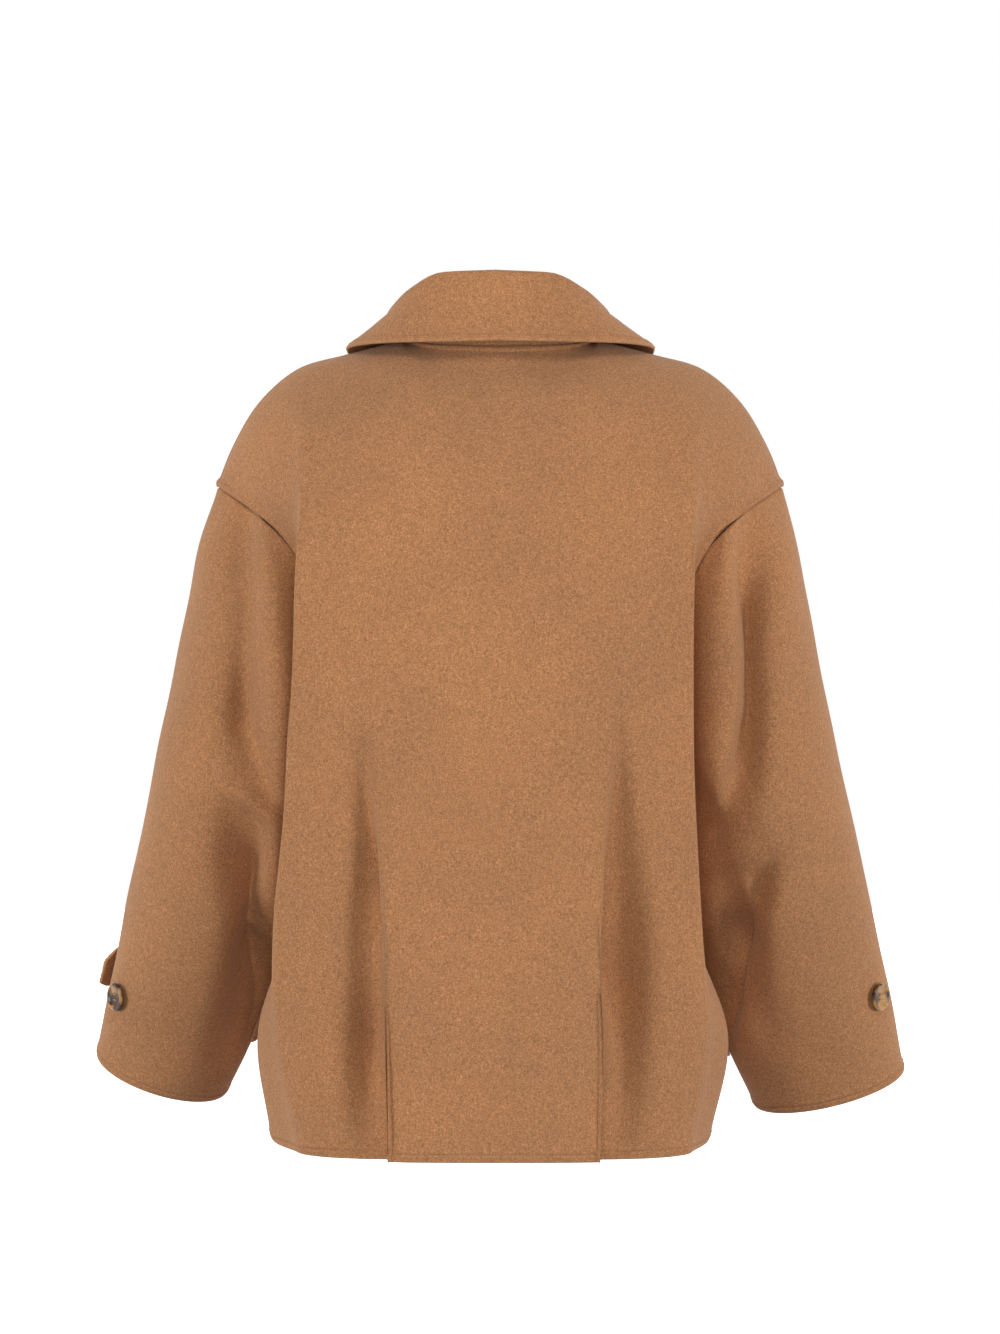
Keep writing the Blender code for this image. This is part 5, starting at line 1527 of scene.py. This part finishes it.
# ---------------------------------------------------------------- the cloth
def stitched_edge(panel, side, among=1.0, inset=STITCH_INSET):
    """A rounded free edge and the groove of its row of stitches."""
    free_edge(panel, side, among)
    topstitching(panel, side, among, inset)


def banded_seam(panel, side, among=1.0):
    """A seam with its allowance turned under this panel, where among isn't 0."""
    sewn_edge(panel, side)
    lapped_band(panel, side, among)


def dress_body(back, fronts, sleeves, collar):
    """Edges, seams, seam bands and stitch grooves of the sewn pieces."""
    at_armhole = fade(BODY_ROWS, UNDERARM, UNDERARM + 0.6)[:, None]
    stitched_edge(back, "bottom")
    for side in ("first", "last"):
        banded_seam(back, side, at_armhole)
    numbers = np.concatenate([NECK_COLUMNS, NECK_STEPS + OUTER_COLUMNS[1:]])
    from_middle = np.concatenate([numbers[:0:-1], numbers])[None, :]
    banded_seam(back, "top", 1 - fade(from_middle, NECK_STEPS - 0.2, NECK_STEPS + 0.3))
    for front in fronts.values():
        below_break = 1 - fade(BODY_ROWS, BREAK_ROW - 0.4, BREAK_ROW + 0.1)[:, None]
        above_gorge = fade(BODY_ROWS, GORGE_ROW - 0.05, GORGE_ROW)[:, None]
        stitched_edge(front, "bottom")
        stitched_edge(front, "first", below_break)
        sewn_edge(front, "first", above_gorge)
        banded_seam(front, "last", at_armhole)
        banded_seam(front, "top")
    for sleeve in sleeves.values():
        sewn_edge(sleeve, "bottom")
        stitched_edge(sleeve, "top")
    stitched_edge(collar, "top")
    for side in ("first", "last"):
        free_edge(collar, side)
        topstitching(collar, side, fade(LEAF_STITCHED - collar.from_side("top"), 0.0, 0.01))


def dress_laid(lapels, straps):
    """Edges of the pieces that lie on others."""
    for lapel in lapels.values():
        for side in ("last", "top"):
            stitched_edge(lapel, side)
        free_edge(lapel, "bottom")
    for strap in straps.values():
        for side in ("bottom", "top", "last"):
            stitched_edge(strap, side, inset=STRAP_INSET)
        free_edge(strap, "first")


def unevenness(panel, seed, height):
    """Lifts and sinks a panel slowly by up to about this height, less near its seams."""
    panel.bulk += height * wander(panel.points, seed) * panel.inland


def build_cloth():
    """Every piece of cloth with its creases and edges, by name of what it is."""
    back = build_back()
    fronts = {side: build_front(side) for side in (LEFT, RIGHT)}
    sleeves, angles = {}, {}
    for side in (LEFT, RIGHT):
        sleeves[side], angles[side] = build_sleeve(side, back, fronts[side])
    collar = build_collar(back, fronts)
    share_normals([back, *fronts.values(), *sleeves.values(), collar])
    collar.points = collar.points - collar.normals * WALL
    collar.normals = -collar.normals
    collar.outwards = -1
    for panel in (back, *fronts.values(), *sleeves.values(), collar):
        sides = ("bottom", "top") if panel.closed else ("bottom", "top", "first", "last")
        ways = [fade(panel.from_side(side), 0.0, SEAM_CALM) for side in sides]
        panel.inland = np.minimum.reduce(ways)
    unevenness(back, 3, 0.0011)
    for number, side in enumerate((LEFT, RIGHT)):
        unevenness(fronts[side], 5 + number, 0.0009)
        unevenness(sleeves[side], 8 + number, 0.0010)
        add_creases(fronts[side], FRONT_CREASES[side], -1)
        add_creases(sleeves[side], SLEEVE_CREASES[side], 1)
        add_creases(sleeves[side], SLEEVE_FRONT_CREASES[side], -1)
    unevenness(collar, 12, 0.0006)
    add_creases(back, BACK_CREASES, 1)
    lapels = {side: build_lapel(side, fronts[side]) for side in (LEFT, RIGHT)}
    straps = {side: build_strap(side, sleeves[side], angles[side]) for side in (LEFT, RIGHT)}
    dress_body(back, fronts, sleeves, collar)
    dress_laid(lapels, straps)
    return back, fronts, sleeves, collar, lapels, straps, angles


# ---------------------------------------------------------------- sewing and buttons
def sew(panel, lines, tree, thread):
    """The stitch rows of one piece: (side, inset, start, end) for each row."""
    rows = StitchRows()
    for side, inset, start, end in lines:
        rows.add_beside(panel, side, inset, start, end)
    return add_stitches("stitches_" + panel.name, rows, tree, thread)


def face_tree(panel):
    """The finished outer face, ready to find where a button stands on it."""
    rows, columns = panel.points.shape[:2]
    faces = grid_faces(rows, columns, panel.closed, panel.outwards < 0)
    return BVHTree.FromPolygons(outer_face(panel).reshape(-1, 3).tolist(), faces.tolist())


def seat(face, near, normal):
    """Where a line through near along normal meets a face."""
    place, *_ = face.ray_cast(Vector(near + normal * SEAT_REACH), Vector(-normal))
    return np.array(place)


def flat_size(panel):
    """The width, length and area that a panel is cut to, measured along its cloth."""
    across = np.linalg.norm(np.diff(panel.points, axis=1), axis=2).sum(axis=1)
    if panel.closed:
        across += np.linalg.norm(panel.points[:, 0] - panel.points[:, -1], axis=1)
    up = np.linalg.norm(np.diff(panel.points, axis=0), axis=2).sum(axis=0)
    width, length = float(across.max()), float(up.max())
    way = panel.from_side("bottom")
    area = float(np.sum((across[1:] + across[:-1]) / 2 * np.diff(way.mean(axis=1))))
    return (round(width, 3), round(length, 3)), round(min(area, width * length), 4)


def declare(piece, panel, with_pieces=()):
    """Puts a piece of cloth and what is sewn to it on one body, and hides its solid."""
    flat, area = flat_size(panel)
    for part in (piece, *with_pieces):
        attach(part, "root")
    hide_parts(panel.name)


def declare_button(name, radius, place, normal, horn, thread):
    """A finished button in the place of its solid, with its thread."""
    disc, threads = add_button(name, radius, place, normal, horn, thread)
    for piece, slot in ((disc, "brown_horn"), (threads, "camel_wool")):
        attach(piece, "root")
    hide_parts(name)


def sewing_plan(back, fronts, sleeves, collar, lapels, straps):
    """Every sheet with how it is held, what it rests on and its rows of stitches.

    A row is (side, inset, start, end), with start and end as shares of the side's length.
    """
    armhole = ARM_ROW / (len(BODY_ROWS) - 1)
    broken = np.searchsorted(BODY_ROWS, BREAK_ROW) / (len(BODY_ROWS) - 1)
    neck = len(OUTER_COLUMNS[1:]) / (back.points.shape[1] - 1)
    plan = [
        (back, "hung", ["collar"], [
            ("bottom", STITCH_INSET, 0, 1), ("first", BAND_INSET, armhole, 1),
            ("last", BAND_INSET, armhole, 1), ("top", BAND_INSET, neck, 1 - neck),
        ]),
        (collar, "folded", ["back"], [
            ("top", STITCH_INSET, 0, 1), ("first", STITCH_INSET, 0.45, 1), ("last", STITCH_INSET, 0.45, 1),
        ]),
    ]
    for side in (LEFT, RIGHT):
        plan += [
            (fronts[side], "hung", ["back", "collar"], [
                ("bottom", STITCH_INSET, 0, 1), ("first", STITCH_INSET, 0, broken),
                ("last", BAND_INSET, armhole, 1), ("top", BAND_INSET, 0, 1),
            ]),
            (sleeves[side], "hung", ["back", fronts[side].name], [("top", STITCH_INSET, 0, 1)]),
            (lapels[side], "folded", [fronts[side].name], [
                ("last", STITCH_INSET, 0.08, 1), ("top", STITCH_INSET, 0.2, 1),
            ]),
            (straps[side], "laid", [sleeves[side].name], [
                ("bottom", STRAP_INSET, 0, 1), ("top", STRAP_INSET, 0, 1), ("last", STRAP_INSET, 0.12, 0.88),
            ]),
        ]
    return plan


def add_front_buttons(front, tree, horn, thread):
    """Both columns of front buttons; returns the buttonholes that the outer ones are put through."""
    face = face_tree(front)
    levels = [level.z_mid for level in FRONT_LEVELS]
    holes = []
    for number, height in enumerate(FRONT_BUTTON_HEIGHTS, start=1):
        row = np.interp(height, levels, range(len(levels)))
        for word, x in (("outer", -FRONT_BUTTON_OFFSET), ("inner", FRONT_BUTTON_OFFSET)):
            near, normal = front_place(front, row, x)
            place = seat(face, near, normal)
            name = f"front_button_{word}_{number}"
            declare_button(name, FRONT_BUTTON_RADIUS, place, normal, horn, thread)
            if word == "outer":
                rows = buttonhole_rows(place - normal * HOLE_SINK, normal, -1)
                name = f"buttonhole_{number}"
                holes.append(add_stitches(name, rows, tree, thread, BUTTONHOLE_DEPTH, BUTTONHOLE_TILT))
    return holes


def add_cuff_buttons(sleeves, angles, horn, thread):
    """One button at the back of each cuff."""
    for side, word in ((LEFT, "left"), (RIGHT, "right")):
        sleeve, spot = sleeves[side], CUFF_BUTTONS[side]
        column = np.array([np.interp(spot.angle, angles[side], range(len(angles[side])))])
        row = np.array([np.interp(spot.ring, SLEEVE_ROWS, range(len(SLEEVE_ROWS)))])
        near = grid_places(sleeve, sleeve.points, row, column)[0, 0]
        normal = unit(grid_places(sleeve, sleeve.normals, row, column)[0, 0])
        place = seat(face_tree(sleeve), near, normal)
        declare_button(f"cuff_button_{word}", CUFF_BUTTON_RADIUS, place, normal, horn, thread)


def make_coat():
    wool, thread, horn = wool_finish(), thread_finish(), horn_finish()
    tree = stitch_tree()
    back, fronts, sleeves, collar, lapels, straps, angles = build_cloth()
    holes = {fronts[RIGHT].name: add_front_buttons(fronts[RIGHT], tree, horn, thread)}
    add_cuff_buttons(sleeves, angles, horn, thread)
    for panel, held, rests_on, lines in sewing_plan(back, fronts, sleeves, collar, lapels, straps):
        piece = add_wall(panel, wool)
        stitches = sew(panel, lines, tree, thread)
        declare(piece, panel, [stitches, *holes.get(panel.name, [])])


# ---------------------------------------------------------------- floor, light and camera
def make_floor():
    material, *_ = new_finish("pale_floor", {
        "Roughness": 0.8, "Base Color": FLOOR_GREY, "Emission Color": WHITE, "Emission Strength": FLOOR_GLOW,
    })
    half = FLOOR_HALF
    corners = [(-half, -half), (half, -half), (half, half), (-half, half)]
    floor = add_mesh("floor", [(x, y, FLOOR_HEIGHT) for x, y in corners], [(0, 1, 2, 3)], material)
    floor.visible_diffuse = False


def make_light():
    """A white studio, brighter behind the coat than before it, with large soft lamps behind the camera."""
    world = bpy.data.worlds.new("studio")
    bpy.context.scene.world = world
    world.use_nodes = True
    nodes, links = world.node_tree.nodes, world.node_tree.links
    background = nodes["Background"]
    set_inputs(background, {"Color": WHITE})
    parts = nodes.new("ShaderNodeSeparateXYZ")
    links.new(nodes.new("ShaderNodeTexCoord").outputs["Generated"], parts.inputs["Vector"])
    shade = nodes.new("ShaderNodeMapRange")
    shade.interpolation_type = "SMOOTHSTEP"
    set_inputs(shade, {
        "From Min": STUDIO_TURNS[0], "From Max": STUDIO_TURNS[1],
        "To Min": STUDIO_BRIGHT, "To Max": STUDIO_DIM,
    })
    links.new(parts.outputs["Y"], shade.inputs["Value"])
    seen = nodes.new("ShaderNodeMix")
    set_inputs(seen, {3: 1.0})
    links.new(nodes.new("ShaderNodeLightPath").outputs["Is Camera Ray"], seen.inputs["Factor"])
    links.new(shade.outputs["Result"], seen.inputs[2])
    links.new(seen.outputs[0], background.inputs["Strength"])
    for name, place, size, power in LAMPS:
        lamp = bpy.data.lights.new(name, "AREA")
        lamp.shape = "DISK"
        lamp.size = size
        lamp.energy = power
        light = bpy.data.objects.new(name, lamp)
        light.location = place
        light.rotation_euler = (Vector(COAT_MIDDLE) - Vector(place)).to_track_quat("-Z", "Y").to_euler()
        bpy.context.scene.collection.objects.link(light)
    bpy.context.scene.view_settings.view_transform = "Standard"


def make_camera():
    """Level with the middle of the coat, straight behind it."""
    lens = bpy.data.cameras.new("camera")
    lens.sensor_fit = "VERTICAL"
    lens.sensor_height = SENSOR_HEIGHT
    lens.lens = SENSOR_HEIGHT * CAMERA_DISTANCE / VIEW_HEIGHT
    camera = bpy.data.objects.new("camera", lens)
    camera.location = (0.0, CAMERA_DISTANCE, CAMERA_HEIGHT)
    camera.rotation_euler = (radians(90), 0.0, radians(180))
    bpy.context.scene.collection.objects.link(camera)
    bpy.context.scene.camera = camera


make_camera()
make_light()
make_floor()
make_coat()
